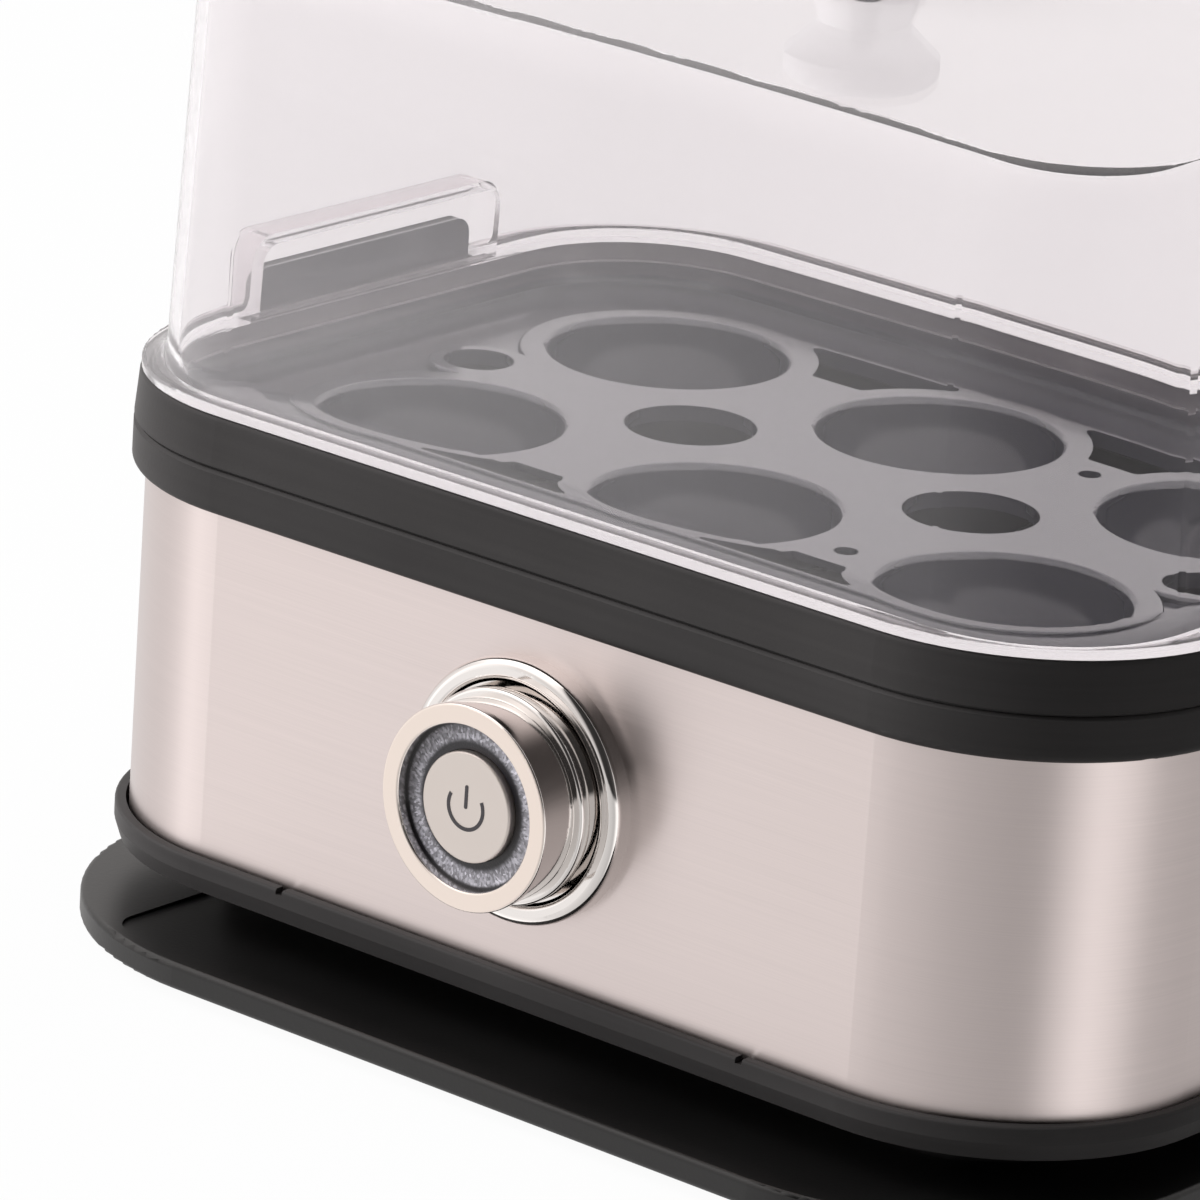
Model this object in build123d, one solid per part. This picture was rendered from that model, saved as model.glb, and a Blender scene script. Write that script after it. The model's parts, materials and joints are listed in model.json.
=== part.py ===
from build123d import *
import math
import os

# Electric egg cooker for six eggs, modelled as the separate pieces it comes apart into.
# Frame: origin at the centre of the footprint on the table, +X along the front to the right,
# -Y to the front with the button, +Z up. Millimetres.

# Body outline, a rounded rectangle, largest at the seam between collar and tray
BODY_HALF_LENGTH = 101.0
BODY_HALF_WIDTH = 70.3
BODY_CORNER = 37.0

# Heights of the stack, from the table up
FOOT_STANDOFF = 2.0
PLATE_THICKNESS = 4.3
PLINTH_HEIGHT = 7.3
TRIM_HEIGHT = 5.4
STEEL_SHOWN = 55.4
COLLAR_HEIGHT = 7.2
RIM_HEIGHT = 8.3
LID_RISE = 71.05

# Clearances
SEAT_GAP = 0.1
FIT_GAP = 0.2
SLIDE_GAP = 0.4
CUT = 1.0
LEVEL_BAND = 0.01
INSET_BAND = 0.3

# Base plate and feet
PLATE_HALF_LENGTH = 102.0
PLATE_HALF_WIDTH = 81.625
PLATE_SHIFT = 0.625
PLATE_CORNER = 45.0
PLATE_EDGE_ROUND = 0.9
PLATE_WALL = 3.0
PLATE_SKIN = 2.3
PLATE_RIB = 1.6
PANEL_HALF_LENGTH = 75.0
PANEL_MARGIN = 5.0
PANEL_CORNER = 5.0
PANEL_DEPTH = 0.4
FOOT_RADIUS = 8.0
FOOT_SOCKET = 1.2
FOOT_ROUND = 0.7
FOOT_X = 78.0
FOOT_Y = 56.0
PAD_WALL = 2.0

# Plinth, the recessed neck under the body
PLINTH_INSET = 18.0
PLINTH_WALL = 2.5
PLINTH_TOP = 1.4
BASE_SCREW_END_MARGIN = 11.0
BASE_SCREW_SIDE_MARGIN = 16.3
BOSS_RADIUS = 4.6
LEAD_HOLE_RADIUS = 5.0
LEAD_HOLE_Y = 36.0

# Gland for a flat two-core lead
GLAND_WIDTH = 11.0
GLAND_HEIGHT = 4.6
GLAND_FLANGE = 0.8
GLAND_FLANGE_THICKNESS = 1.5
GLAND_TAIL = 3.0
LEAD_WIDTH = 6.2
LEAD_THICKNESS = 2.8

# Screws
SCREW_RADIUS = 1.6
SCREW_HEAD_RADIUS = 3.1
SCREW_HEAD_HEIGHT = 1.9
SCREW_BITE = 7.0

# Bottom cover with the trim lip round the steel
COVER_FLOOR = 2.4
COVER_BOSS_HEIGHT = 6.0
TRIM_TAPER = 0.9
TRIM_EDGE_ROUND = 0.5
TRIM_GAP = 0.55
UPSTAND_WALL = 1.6
UPSTAND_HEIGHT = 8.0
NOTCH_X = 45.5
NOTCH_WIDTH = 1.3
NOTCH_DEPTH = 0.9

# Steel sleeve
STEEL_INSET = 2.25
STEEL_THICKNESS = 0.7
STEEL_TUCK = 3.0

# Collar, the lower black band
COLLAR_UNDER_ROUND = 1.6
SEAM_CHAMFER = 0.5
COLLAR_OPENING_INSET = 14.0
REBATE_INSET = 9.2
REBATE_DEPTH = 4.0
POST_RADIUS = 4.0
POST_INSET = 9.0
POST_Y = 22.0

# Water pan and what hangs under it
SEAL_THICKNESS = 1.2
PAN_WALL = 1.5
PAN_FLANGE_THICKNESS = 1.2
PAN_WALL_GAP = 1.4
PAN_DEPTH = 16.0
PAN_DRAFT = 6.0
PAN_BOTTOM_ROUND = 5.0
STUD_RADIUS = 1.5
STUD_LENGTH = 5.2
STUD_X = 17.0
ELEMENT_RADIUS = 3.2
ELEMENT_FLAT = 0.6
ELEMENT_HALF_SPAN = 26.0
ELEMENT_BEND_X = 30.0
ELEMENT_END_X = -48.0
ELEMENT_PIN_RADIUS = 1.1
ELEMENT_PIN_LENGTH = 9.0
THERMOSTAT_FLANGE_RADIUS = 11.0
THERMOSTAT_FLANGE_THICKNESS = 1.2
THERMOSTAT_RADIUS = 8.5
THERMOSTAT_HEIGHT = 9.0
TAB_WIDTH = 6.3
TAB_THICKNESS = 0.8
TAB_LENGTH = 7.5
STRAP_THICKNESS = 0.8
STRAP_WIDTH = 22.0
STRAP_END_X = 22.5
FUSE_RADIUS = 2.2
FUSE_LENGTH = 14.0
NUT_ACROSS_RADIUS = 3.0
NUT_HEIGHT = 2.2

# Terminal block on the floor
BLOCK_END_MARGIN = 55.0
BLOCK_SIDE_MARGIN = 34.3
BLOCK_LENGTH = 32.0
BLOCK_WIDTH = 15.0
BLOCK_HEIGHT = 12.0
BLOCK_PITCH = 10.0
BLOCK_HOLE_RADIUS = 2.2
BLOCK_ROUND = 1.0

# Button, measured outwards from the steel's face along its own axis
BUTTON_X = 0.0
BUTTON_HEIGHT = 47.8
BEZEL_RADIUS = 20.5
BEZEL_BORE = 17.3
BEZEL_PROUD = 3.7
BEZEL_ROUND = 1.5
BEZEL_TUBE_RADIUS = 18.7
BEZEL_TUBE_LENGTH = 6.0
BEZEL_NUT_RADIUS = 22.1
BEZEL_NUT_THICKNESS = 3.4
BEZEL_NUT_NOTCHES = 6
BEZEL_NUT_NOTCH_RADIUS = 1.0
BUTTON_PROUD = 14.2
BUTTON_TRAVEL = 3.0
BARREL_RADIUS = 15.9
BARREL_WAIST = 15.6
BARREL_FACE = 12.8
BARREL_BORE = 14.1
BARREL_LIP = 2.0
BARREL_RIM = 1.2
BARREL_REAR = 6.0
LAND_RADIUS = 16.9
LAND_FRONT = 3.0
BEAD_RADIUS = 16.6
BEAD_FRONT = 6.6
BEAD_WIDTH = 1.9
RING_THICKNESS = 4.0
RING_BOWL = 8.6
CAP_SINK = 0.7
CAP_THICKNESS = 2.6
PLUNGER_FLANGE = 2.0
PLUNGER_RADIUS = 4.5
PLUNGER_STEP = 6.5
ROD_RADIUS = 2.4
ROD_END = 13.0

# Switch, its bracket and the lamp board, measured inwards from the steel's face
BRACKET_FACE = 14.0
BRACKET_THICKNESS = 1.5
BRACKET_WIDTH = 34.0
BRACKET_ABOVE = 11.0
BRACKET_FOOT = 14.0
SWITCH_WIDTH = 22.0
SWITCH_HEIGHT = 16.0
SWITCH_DEPTH = 19.0
SWITCH_ROUND = 1.0
SWITCH_NECK_RADIUS = 5.5
SWITCH_NECK_LENGTH = 3.0
BOARD_RADIUS = 13.5
BOARD_THICKNESS = 1.6
LAMP_RADIUS = 1.5
LAMP_HEIGHT = 1.6
LAMP_CIRCLE = 10.5
LAMP_COUNT = 6

# Egg tray
RIM_DRAFT = 4.8
RIM_ROUND = 0.9
BASIN_DRAFT = 6.0
BASIN_GROW = 0.4
DECK_DROP = 5.7
GUTTER_DROP = 6.8
SPIGOT_DEPTH = 1.0
SPIGOT_WALL = 1.6
CUP_PITCH = 55.0
CUP_RADIUS = 19.1
CUP_LIP = 1.0
CUP_DEPTH = 14.0
CUP_MOUTH = 13.0
CUP_BULGE = 1.6
CUP_WALL = 1.6
LAND_WIDTH = 4.9
DECK_EDGE_ROUND = 0.6
STEAM_HOLE_RADIUS = 10.4
END_HOLE_RADIUS = 5.6
END_HOLE_X = 71.1
END_LAND = 2.6
DOT_RADIUS = 1.9
DOT_Y = 30.0
WINDOW_NEAR = 36.0
WINDOW_FAR = 49.0
WINDOW_ROUND = 1.0
WINDOW_BORDER = 1.5
HANDLE_INSET = 3.5
HANDLE_THICKNESS = 2.2
HANDLE_HALF_WIDTH = 25.6
HANDLE_RISE = 7.6
HANDLE_ROUND = 3.0
HANDLE_ROOT = 1.0

# Lid, on an outline of its own with tighter corners
LID_END_MARGIN = 6.4
LID_SIDE_MARGIN = 6.0
LID_CORNER = 26.5
LID_WALL = 1.8
LID_DRAFT = 2.0
LID_TOP_ROUND = 6.5
DOME_RADIUS = 2400.0
DOME_MARGIN = 15.0
FLANGE_INSET = 0.8
FLANGE_THICKNESS = 1.4
FLANGE_ROUND = 0.5
FLANGE_FILLET = 3.5
SKIRT_INSET = 0.4
SKIRT_DEPTH = 3.0
SKIRT_WALL = 1.4
POCKET_HALF_WIDTH = 29.5
POCKET_HEIGHT = 14.0
POCKET_CORNER = 4.5
POCKET_ROUND = 0.8
POCKET_WALL = 1.2
POCKET_FACE_INSET = 0.9
POCKET_SILL = 1.0
POCKET_SLOT_GAP = 0.6
VENT_RADIUS = 1.2
VENT_PITCH = 9.0
VENT_Y = 24.0
VENT_COUNT = 3

# Lid knob
KNOB_BASE_RADIUS = 8.5
KNOB_WAIST_RADIUS = 7.0
KNOB_RADIUS = 12.0
KNOB_HEIGHT = 16.0
KNOB_ROUND = 3.0
WASHER_RADIUS = 9.2
WASHER_THICKNESS = 1.0
KNOB_SCREW_BITE = 9.0

# Levels worked out from the stack
Z_PLATE = FOOT_STANDOFF
Z_PLINTH = Z_PLATE + PLATE_THICKNESS
Z_COVER = Z_PLINTH + PLINTH_HEIGHT
Z_FLOOR = Z_COVER + COVER_FLOOR
Z_TRIM_TOP = Z_COVER + TRIM_HEIGHT
Z_BOSS = Z_COVER + COVER_BOSS_HEIGHT
Z_COLLAR = Z_TRIM_TOP + STEEL_SHOWN
Z_SEAM = Z_COLLAR + COLLAR_HEIGHT
Z_LEDGE = Z_SEAM - REBATE_DEPTH
Z_PAN_FLANGE = Z_LEDGE + SEAL_THICKNESS
Z_PAN_TOP = Z_PAN_FLANGE + PAN_FLANGE_THICKNESS
Z_PAN_FLOOR = Z_PAN_TOP - PAN_DEPTH
Z_PAN_UNDER = Z_PAN_FLOOR - PAN_WALL
Z_TRAY = Z_SEAM + SEAT_GAP
Z_RIM = Z_SEAM + RIM_HEIGHT
Z_DECK = Z_RIM - DECK_DROP
Z_GUTTER = Z_RIM - GUTTER_DROP
Z_FLANGE = Z_RIM + SEAT_GAP
Z_LID_TOP = Z_RIM + LID_RISE
Z_STRAP = Z_PAN_UNDER - THERMOSTAT_FLANGE_THICKNESS - STRAP_THICKNESS

BODY = (BODY_HALF_LENGTH, BODY_HALF_WIDTH, BODY_CORNER)
LID_HALF_LENGTH = BODY_HALF_LENGTH - LID_END_MARGIN
LID_HALF_WIDTH = BODY_HALF_WIDTH - LID_SIDE_MARGIN
LID = (LID_HALF_LENGTH, LID_HALF_WIDTH, LID_CORNER)
FLANGE_INSET_PAN = REBATE_INSET + SLIDE_GAP
DISH_INSET = COLLAR_OPENING_INSET + PAN_WALL_GAP
STEEL_FACE_Y = -(BODY_HALF_WIDTH - STEEL_INSET)
BUTTON_PLANE = Plane(
    origin=(BUTTON_X, STEEL_FACE_Y, BUTTON_HEIGHT), x_dir=(1, 0, 0), z_dir=(0, -1, 0)
)
CUP_CENTRES = [(x * CUP_PITCH, y * CUP_PITCH / 2) for x in (-1, 0, 1) for y in (-1, 1)]
GAP_CENTRES = [(x * CUP_PITCH / 2, 0) for x in (-1, 1)]
BASE_SCREW_X = BODY_HALF_LENGTH - PLINTH_INSET - BASE_SCREW_END_MARGIN
BASE_SCREW_Y = BODY_HALF_WIDTH - PLINTH_INSET - BASE_SCREW_SIDE_MARGIN
BASE_SCREWS = [(x * BASE_SCREW_X, y * BASE_SCREW_Y) for x in (-1, 1) for y in (-1, 1)]
BLOCK_X = BLOCK_END_MARGIN - BODY_HALF_LENGTH
BLOCK_Y = BODY_HALF_WIDTH - BLOCK_SIDE_MARGIN
POSTS = [
    (x * (BODY_HALF_LENGTH - POST_INSET), y * POST_Y) for x in (-1, 1) for y in (-1, 1)
]
FEET = [(x * FOOT_X, y * FOOT_Y) for x in (-1, 1) for y in (-1, 1)]


def outline(inset, z, form=BODY):
    """Rounded outline of the body or the lid, drawn in by inset, on the level z."""
    half_length, half_width, corner = form
    return Pos(0, 0, z) * RectangleRounded(
        2 * (half_length - inset), 2 * (half_width - inset), corner - inset
    )


def slab(inset, low, high, form=BODY):
    """Upright prism on an outline drawn in by inset."""
    return extrude(outline(inset, low, form), high - low)


def ring(outer_inset, inner_inset, low, high):
    """Upright wall between two insets of the body outline."""
    return slab(outer_inset, low, high) - slab(inner_inset, low - CUT, high + CUT)


def inset_of(point, form):
    """How far a point lies inside an outline."""
    half_length, half_width, corner = form
    over_x = abs(point.X) - (half_length - corner)
    over_y = abs(point.Y) - (half_width - corner)
    if over_x > 0 and over_y > 0:
        return corner - math.hypot(over_x, over_y)
    return corner - max(over_x, over_y)


def on_level(solid, z):
    """Edges of a solid that lie on the level z."""
    return solid.edges().filter_by_position(Axis.Z, z - LEVEL_BAND, z + LEVEL_BAND)


def rod(radius, low, high, x=0.0, y=0.0):
    """Upright cylinder between two levels."""
    return Pos(x, y, (low + high) / 2) * Cylinder(radius, high - low)


def rods(radius, low, high, places):
    """One upright cylinder at each place."""
    return [rod(radius, low, high, x, y) for x, y in places]


def brick(low, high):
    """Box between two corners."""
    size = [b - a for a, b in zip(low, high)]
    middle = [(a + b) / 2 for a, b in zip(low, high)]
    return Pos(*middle) * Box(*size)


def turned(points):
    """Solid turned about Z from a closed profile of (radius, height) points."""
    return revolve(make_face(Plane.XZ * Polyline(*points, close=True)), Axis.Z)


def on_button(solid):
    """Place a solid built about Z on the button's axis, with its zero level on the steel."""
    return BUTTON_PLANE.location * solid


def screw(length):
    """Pan-head screw standing on its head, with the underside of its head at zero."""
    head = rod(SCREW_HEAD_RADIUS, -SCREW_HEAD_HEIGHT, 0)
    head = fillet(head.edges().group_by(Axis.Z)[0], SCREW_HEAD_HEIGHT / 2)
    return head + rod(SCREW_RADIUS, 0, length)


def group(solids):
    """Separate solids that share one node."""
    return Compound([s.solid() for s in solids])


# Base
def base_plate():
    """Foot plate with a sunk top panel and a ribbed underside."""
    plate = extrude(
        Pos(0, PLATE_SHIFT, Z_PLATE)
        * RectangleRounded(2 * PLATE_HALF_LENGTH, 2 * PLATE_HALF_WIDTH, PLATE_CORNER),
        PLATE_THICKNESS,
    )
    plate = fillet(plate.edges().group_by(Axis.Z)[-1], PLATE_EDGE_ROUND)
    plate = fillet(plate.edges().group_by(Axis.Z)[0], PLATE_EDGE_ROUND)
    panel = extrude(
        Pos(0, PLATE_SHIFT, Z_PLINTH - PANEL_DEPTH)
        * RectangleRounded(
            2 * PANEL_HALF_LENGTH, 2 * (PLATE_HALF_WIDTH - PANEL_MARGIN), PANEL_CORNER
        ),
        PANEL_DEPTH + CUT,
    )
    plate -= panel - slab(PLINTH_INSET, Z_PLATE, Z_PLINTH + 2 * CUT)

    pocket_top = Z_PLINTH - PLATE_SKIN
    pocket = extrude(
        Pos(0, PLATE_SHIFT, Z_PLATE - CUT)
        * RectangleRounded(
            2 * (PLATE_HALF_LENGTH - PLATE_WALL),
            2 * (PLATE_HALF_WIDTH - PLATE_WALL),
            PLATE_CORNER - PLATE_WALL,
        ),
        pocket_top - Z_PLATE + CUT,
    )
    ribs = []
    for x in (-BASE_SCREW_X / 2, 0, BASE_SCREW_X / 2):
        ribs.append(
            brick(
                (x - PLATE_RIB / 2, -PLATE_HALF_WIDTH, Z_PLATE),
                (x + PLATE_RIB / 2, PLATE_HALF_WIDTH, pocket_top + CUT),
            )
        )
    for y in (-BASE_SCREW_Y, BASE_SCREW_Y):
        ribs.append(
            brick(
                (-PLATE_HALF_LENGTH, y - PLATE_RIB / 2, Z_PLATE),
                (PLATE_HALF_LENGTH, y + PLATE_RIB / 2, pocket_top + CUT),
            )
        )
    pads = rods(FOOT_RADIUS + PAD_WALL, Z_PLATE, pocket_top + CUT, FEET)
    bosses = rods(SCREW_HEAD_RADIUS + PAD_WALL, Z_PLATE, pocket_top + CUT, BASE_SCREWS)
    plate -= pocket - ribs - pads - bosses

    plate -= rods(FOOT_RADIUS + SEAT_GAP, Z_PLATE - CUT, Z_PLATE + FOOT_SOCKET, FEET)
    plate -= rods(SCREW_RADIUS + FIT_GAP, Z_PLATE - CUT, Z_PLINTH + CUT, BASE_SCREWS)
    plate -= rods(
        SCREW_HEAD_RADIUS + FIT_GAP, Z_PLATE - CUT, Z_PLATE + SCREW_HEAD_HEIGHT, BASE_SCREWS
    )
    return plate


def rubber_feet():
    """Round feet pressed into the plate's underside."""
    foot = rod(FOOT_RADIUS, 0, Z_PLATE + FOOT_SOCKET)
    foot = fillet(foot.edges().group_by(Axis.Z)[0], FOOT_ROUND)
    return group([Pos(x, y, 0) * foot for x, y in FEET])


def base_screws():
    """Screws from under the plate, through the plinth, into the bottom cover."""
    low = Z_PLATE + SCREW_HEAD_HEIGHT
    body = screw(Z_BOSS - CUT - low)
    return group([Pos(x, y, low) * body for x, y in BASE_SCREWS])


def gland_slot(width, height, depth, y):
    """Flat rounded bar along Y, starting at y, at the gland's height."""
    middle = Z_PLINTH + (PLINTH_HEIGHT - PLINTH_TOP) / 2
    plane = Plane(origin=(0, y, middle), x_dir=(1, 0, 0), z_dir=(0, 1, 0))
    return extrude(plane * SlotOverall(width, height), depth)


def plinth():
    """Recessed neck: an upturned tray with screw bosses and the way out for the lead."""
    body = slab(PLINTH_INSET, Z_PLINTH, Z_COVER)
    hollow = slab(PLINTH_INSET + PLINTH_WALL, Z_PLINTH - CUT, Z_COVER - PLINTH_TOP)
    body -= hollow - rods(BOSS_RADIUS, Z_PLINTH, Z_COVER, BASE_SCREWS)
    body -= rods(SCREW_RADIUS + FIT_GAP, Z_PLINTH - CUT, Z_COVER + CUT, BASE_SCREWS)
    body -= rod(LEAD_HOLE_RADIUS, Z_PLINTH, Z_COVER + CUT, y=LEAD_HOLE_Y)
    back = BODY_HALF_WIDTH - PLINTH_INSET
    return body - gland_slot(
        GLAND_WIDTH + FIT_GAP, GLAND_HEIGHT + FIT_GAP, PLINTH_WALL + 2 * CUT, back - PLINTH_WALL - CUT
    )


def cord_gland():
    """Flanged bush in the back of the plinth."""
    back = BODY_HALF_WIDTH - PLINTH_INSET
    inner = back - PLINTH_WALL - GLAND_TAIL
    bush = gland_slot(GLAND_WIDTH, GLAND_HEIGHT, PLINTH_WALL + GLAND_TAIL, inner)
    flange = gland_slot(
        GLAND_WIDTH + 2 * GLAND_FLANGE,
        GLAND_HEIGHT + GLAND_FLANGE,
        GLAND_FLANGE_THICKNESS,
        back + SEAT_GAP,
    )
    neck = gland_slot(GLAND_WIDTH, GLAND_HEIGHT, SEAT_GAP, back)
    way = gland_slot(
        LEAD_WIDTH,
        LEAD_THICKNESS,
        PLINTH_WALL + GLAND_TAIL + GLAND_FLANGE_THICKNESS + 2 * CUT,
        inner - CUT,
    )
    return bush + neck + flange - way


# Body
def bottom_cover():
    """Floor of the body with the trim lip outside the steel and an upstand inside it."""
    cover = slab(0, Z_COVER, Z_TRIM_TOP)
    cover = chamfer(cover.edges().group_by(Axis.Z)[0], TRIM_HEIGHT / 2, TRIM_TAPER)
    cover = fillet(cover.edges().group_by(Axis.Z)[-1], TRIM_EDGE_ROUND)
    inside = STEEL_INSET + STEEL_THICKNESS + FIT_GAP
    cover -= slab(STEEL_INSET - TRIM_GAP, Z_FLOOR, Z_TRIM_TOP + CUT)
    cover += ring(inside, inside + UPSTAND_WALL, Z_FLOOR - CUT, Z_FLOOR + UPSTAND_HEIGHT)

    low_bosses = rods(SCREW_HEAD_RADIUS + PAD_WALL, Z_COVER, Z_BOSS, POSTS)
    pilot_bosses = rods(BOSS_RADIUS, Z_COVER, Z_BOSS, BASE_SCREWS)
    cover += low_bosses
    cover += pilot_bosses
    cover -= rods(SCREW_RADIUS + FIT_GAP, Z_COVER - CUT, Z_BOSS + CUT, POSTS)
    cover -= rods(
        SCREW_HEAD_RADIUS + FIT_GAP, Z_COVER - CUT, Z_COVER + SCREW_HEAD_HEIGHT, POSTS
    )
    cover -= rods(SCREW_RADIUS + SEAT_GAP, Z_COVER - CUT, Z_BOSS - CUT / 2, BASE_SCREWS)
    cover -= rod(LEAD_HOLE_RADIUS, Z_COVER - CUT, Z_FLOOR + CUT, y=LEAD_HOLE_Y)
    for x in (-NOTCH_X, NOTCH_X):
        cover -= brick(
            (x - NOTCH_WIDTH / 2, -BODY_HALF_WIDTH - CUT, Z_TRIM_TOP - NOTCH_DEPTH),
            (x + NOTCH_WIDTH / 2, STEEL_FACE_Y, Z_TRIM_TOP + CUT),
        )
    return cover


def body_screws():
    """Screws from under the bottom cover into the collar's posts."""
    body = screw(COVER_BOSS_HEIGHT - SCREW_HEAD_HEIGHT + SCREW_BITE)
    return group([Pos(x, y, Z_COVER + SCREW_HEAD_HEIGHT) * body for x, y in POSTS])


def steel_sleeve():
    """Thin stainless wrap, tucked into the bottom cover and the collar."""
    wall = ring(STEEL_INSET, STEEL_INSET + STEEL_THICKNESS, Z_FLOOR, Z_COLLAR + STEEL_TUCK)
    hole_low = -STEEL_THICKNESS - CUT
    return wall - on_button(rod(BEZEL_TUBE_RADIUS + SEAT_GAP, hole_low, CUT))


def collar():
    """Top ring of the body: the seat of the pan and the tray, on four long posts."""
    body = slab(0, Z_COLLAR, Z_SEAM)
    body = fillet(body.edges().group_by(Axis.Z)[0], COLLAR_UNDER_ROUND)
    body = chamfer(body.edges().group_by(Axis.Z)[-1], SEAM_CHAMFER)
    body -= slab(COLLAR_OPENING_INSET, Z_COLLAR - CUT, Z_SEAM + CUT)
    body -= slab(REBATE_INSET, Z_LEDGE, Z_SEAM + CUT)
    body -= ring(
        STEEL_INSET - FIT_GAP,
        STEEL_INSET + STEEL_THICKNESS + FIT_GAP,
        Z_COLLAR - CUT,
        Z_COLLAR + STEEL_TUCK + FIT_GAP,
    )
    body += rods(POST_RADIUS, Z_BOSS, Z_COLLAR + CUT, POSTS)
    return body - rods(
        SCREW_RADIUS + SEAT_GAP, Z_BOSS - CUT, Z_BOSS + SCREW_BITE + CUT, POSTS
    )


# Heating
def dish(inset, top, bottom, corner_round):
    """Tapered dish form that stands on a rounded floor."""
    form = extrude(outline(inset, top), top - bottom, dir=(0, 0, -1), taper=PAN_DRAFT)
    return fillet(form.edges().group_by(Axis.Z)[0], corner_round)


def heating_pan():
    """Coated water dish with a flange and two studs under its floor."""
    pan = slab(FLANGE_INSET_PAN, Z_PAN_FLANGE, Z_PAN_TOP)
    pan += dish(DISH_INSET, Z_PAN_TOP, Z_PAN_UNDER, PAN_BOTTOM_ROUND)
    pan -= dish(DISH_INSET + PAN_WALL, Z_PAN_TOP, Z_PAN_FLOOR, PAN_BOTTOM_ROUND - PAN_WALL)
    studs = [(-STUD_X, 0), (STUD_X, 0)]
    return pan + rods(STUD_RADIUS, Z_PAN_UNDER - STUD_LENGTH, Z_PAN_UNDER + PAN_WALL / 2, studs)


def pan_seal():
    """Flat silicone ring between the pan's flange and the collar's ledge."""
    return ring(FLANGE_INSET_PAN, COLLAR_OPENING_INSET, Z_LEDGE, Z_PAN_FLANGE)


def heating_element():
    """U-shaped sheathed heater, flattened on top where it meets the pan, with two pins."""
    level = Z_PAN_UNDER + ELEMENT_FLAT - ELEMENT_RADIUS
    front = (ELEMENT_END_X, -ELEMENT_HALF_SPAN, level)
    back = (ELEMENT_END_X, ELEMENT_HALF_SPAN, level)
    run_front = Line(front, (ELEMENT_BEND_X, -ELEMENT_HALF_SPAN, level))
    bend = ThreePointArc(
        (ELEMENT_BEND_X, -ELEMENT_HALF_SPAN, level),
        (ELEMENT_BEND_X + ELEMENT_HALF_SPAN, 0, level),
        (ELEMENT_BEND_X, ELEMENT_HALF_SPAN, level),
    )
    run_back = Line((ELEMENT_BEND_X, ELEMENT_HALF_SPAN, level), back)
    start = Plane(origin=front, z_dir=(1, 0, 0))
    tube = sweep(start * Circle(ELEMENT_RADIUS), path=run_front + bend + run_back)
    tube -= slab(DISH_INSET, Z_PAN_UNDER, Z_PAN_FLOOR)
    for end in (front, back):
        pin = Plane(origin=end, z_dir=(-1, 0, 0)).location * rod(
            ELEMENT_PIN_RADIUS, -CUT, ELEMENT_PIN_LENGTH
        )
        tube += pin
    return tube


def thermostat():
    """Snap-disc thermostat: flanged cup with two terminals."""
    top = Z_PAN_UNDER
    flange_low = top - THERMOSTAT_FLANGE_THICKNESS
    low = top - THERMOSTAT_HEIGHT
    body = rod(THERMOSTAT_FLANGE_RADIUS, flange_low, top) + rod(THERMOSTAT_RADIUS, low, top)
    for side in (-1, 1):
        y = side * THERMOSTAT_RADIUS / 2
        body += brick(
            (-TAB_WIDTH / 2, y - TAB_THICKNESS / 2, low - TAB_LENGTH),
            (TAB_WIDTH / 2, y + TAB_THICKNESS / 2, low + CUT),
        )
    return body


def thermostat_bracket():
    """Strap that presses the thermostat on the pan, with a lower tongue for the fuse."""
    drop = 2 * FUSE_RADIUS + SEAT_GAP - THERMOSTAT_FLANGE_THICKNESS
    tongue_start = STRAP_END_X
    tongue_end = STRAP_END_X + 2 * FUSE_RADIUS + 2 * STRAP_THICKNESS
    strap = brick(
        (-STRAP_END_X, -STRAP_WIDTH / 2, Z_STRAP),
        (tongue_start, STRAP_WIDTH / 2, Z_STRAP + STRAP_THICKNESS),
    )
    strap += brick(
        (tongue_start - STRAP_THICKNESS, -FUSE_LENGTH / 2, Z_STRAP - drop),
        (tongue_start, FUSE_LENGTH / 2, Z_STRAP + STRAP_THICKNESS),
    )
    strap += brick(
        (tongue_start - STRAP_THICKNESS, -FUSE_LENGTH / 2, Z_STRAP - drop),
        (tongue_end, FUSE_LENGTH / 2, Z_STRAP - drop + STRAP_THICKNESS),
    )
    strap -= rod(THERMOSTAT_RADIUS + FIT_GAP, Z_STRAP - CUT, Z_PAN_UNDER)
    return strap - rods(
        STUD_RADIUS + FIT_GAP, Z_STRAP - CUT, Z_PAN_UNDER, [(-STUD_X, 0), (STUD_X, 0)]
    )


def bracket_nuts():
    """Nuts on the pan's studs, under the strap."""
    nut = extrude(RegularPolygon(NUT_ACROSS_RADIUS, 6), -NUT_HEIGHT)
    nut -= rod(STUD_RADIUS + SEAT_GAP, -NUT_HEIGHT - CUT, CUT)
    return group([Pos(x, 0, Z_STRAP) * nut for x in (-STUD_X, STUD_X)])


def thermal_fuse():
    """One-shot fuse lying across the strap's tongue, against the pan."""
    middle_x = STRAP_END_X + FUSE_RADIUS + SEAT_GAP
    plane = Plane(origin=(middle_x, 0, Z_PAN_UNDER - FUSE_RADIUS - SEAT_GAP / 2), z_dir=(0, 1, 0))
    body = plane.location * rod(FUSE_RADIUS, -FUSE_LENGTH / 2, FUSE_LENGTH / 2)
    return chamfer(body.edges(), FUSE_RADIUS / 4)


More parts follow.
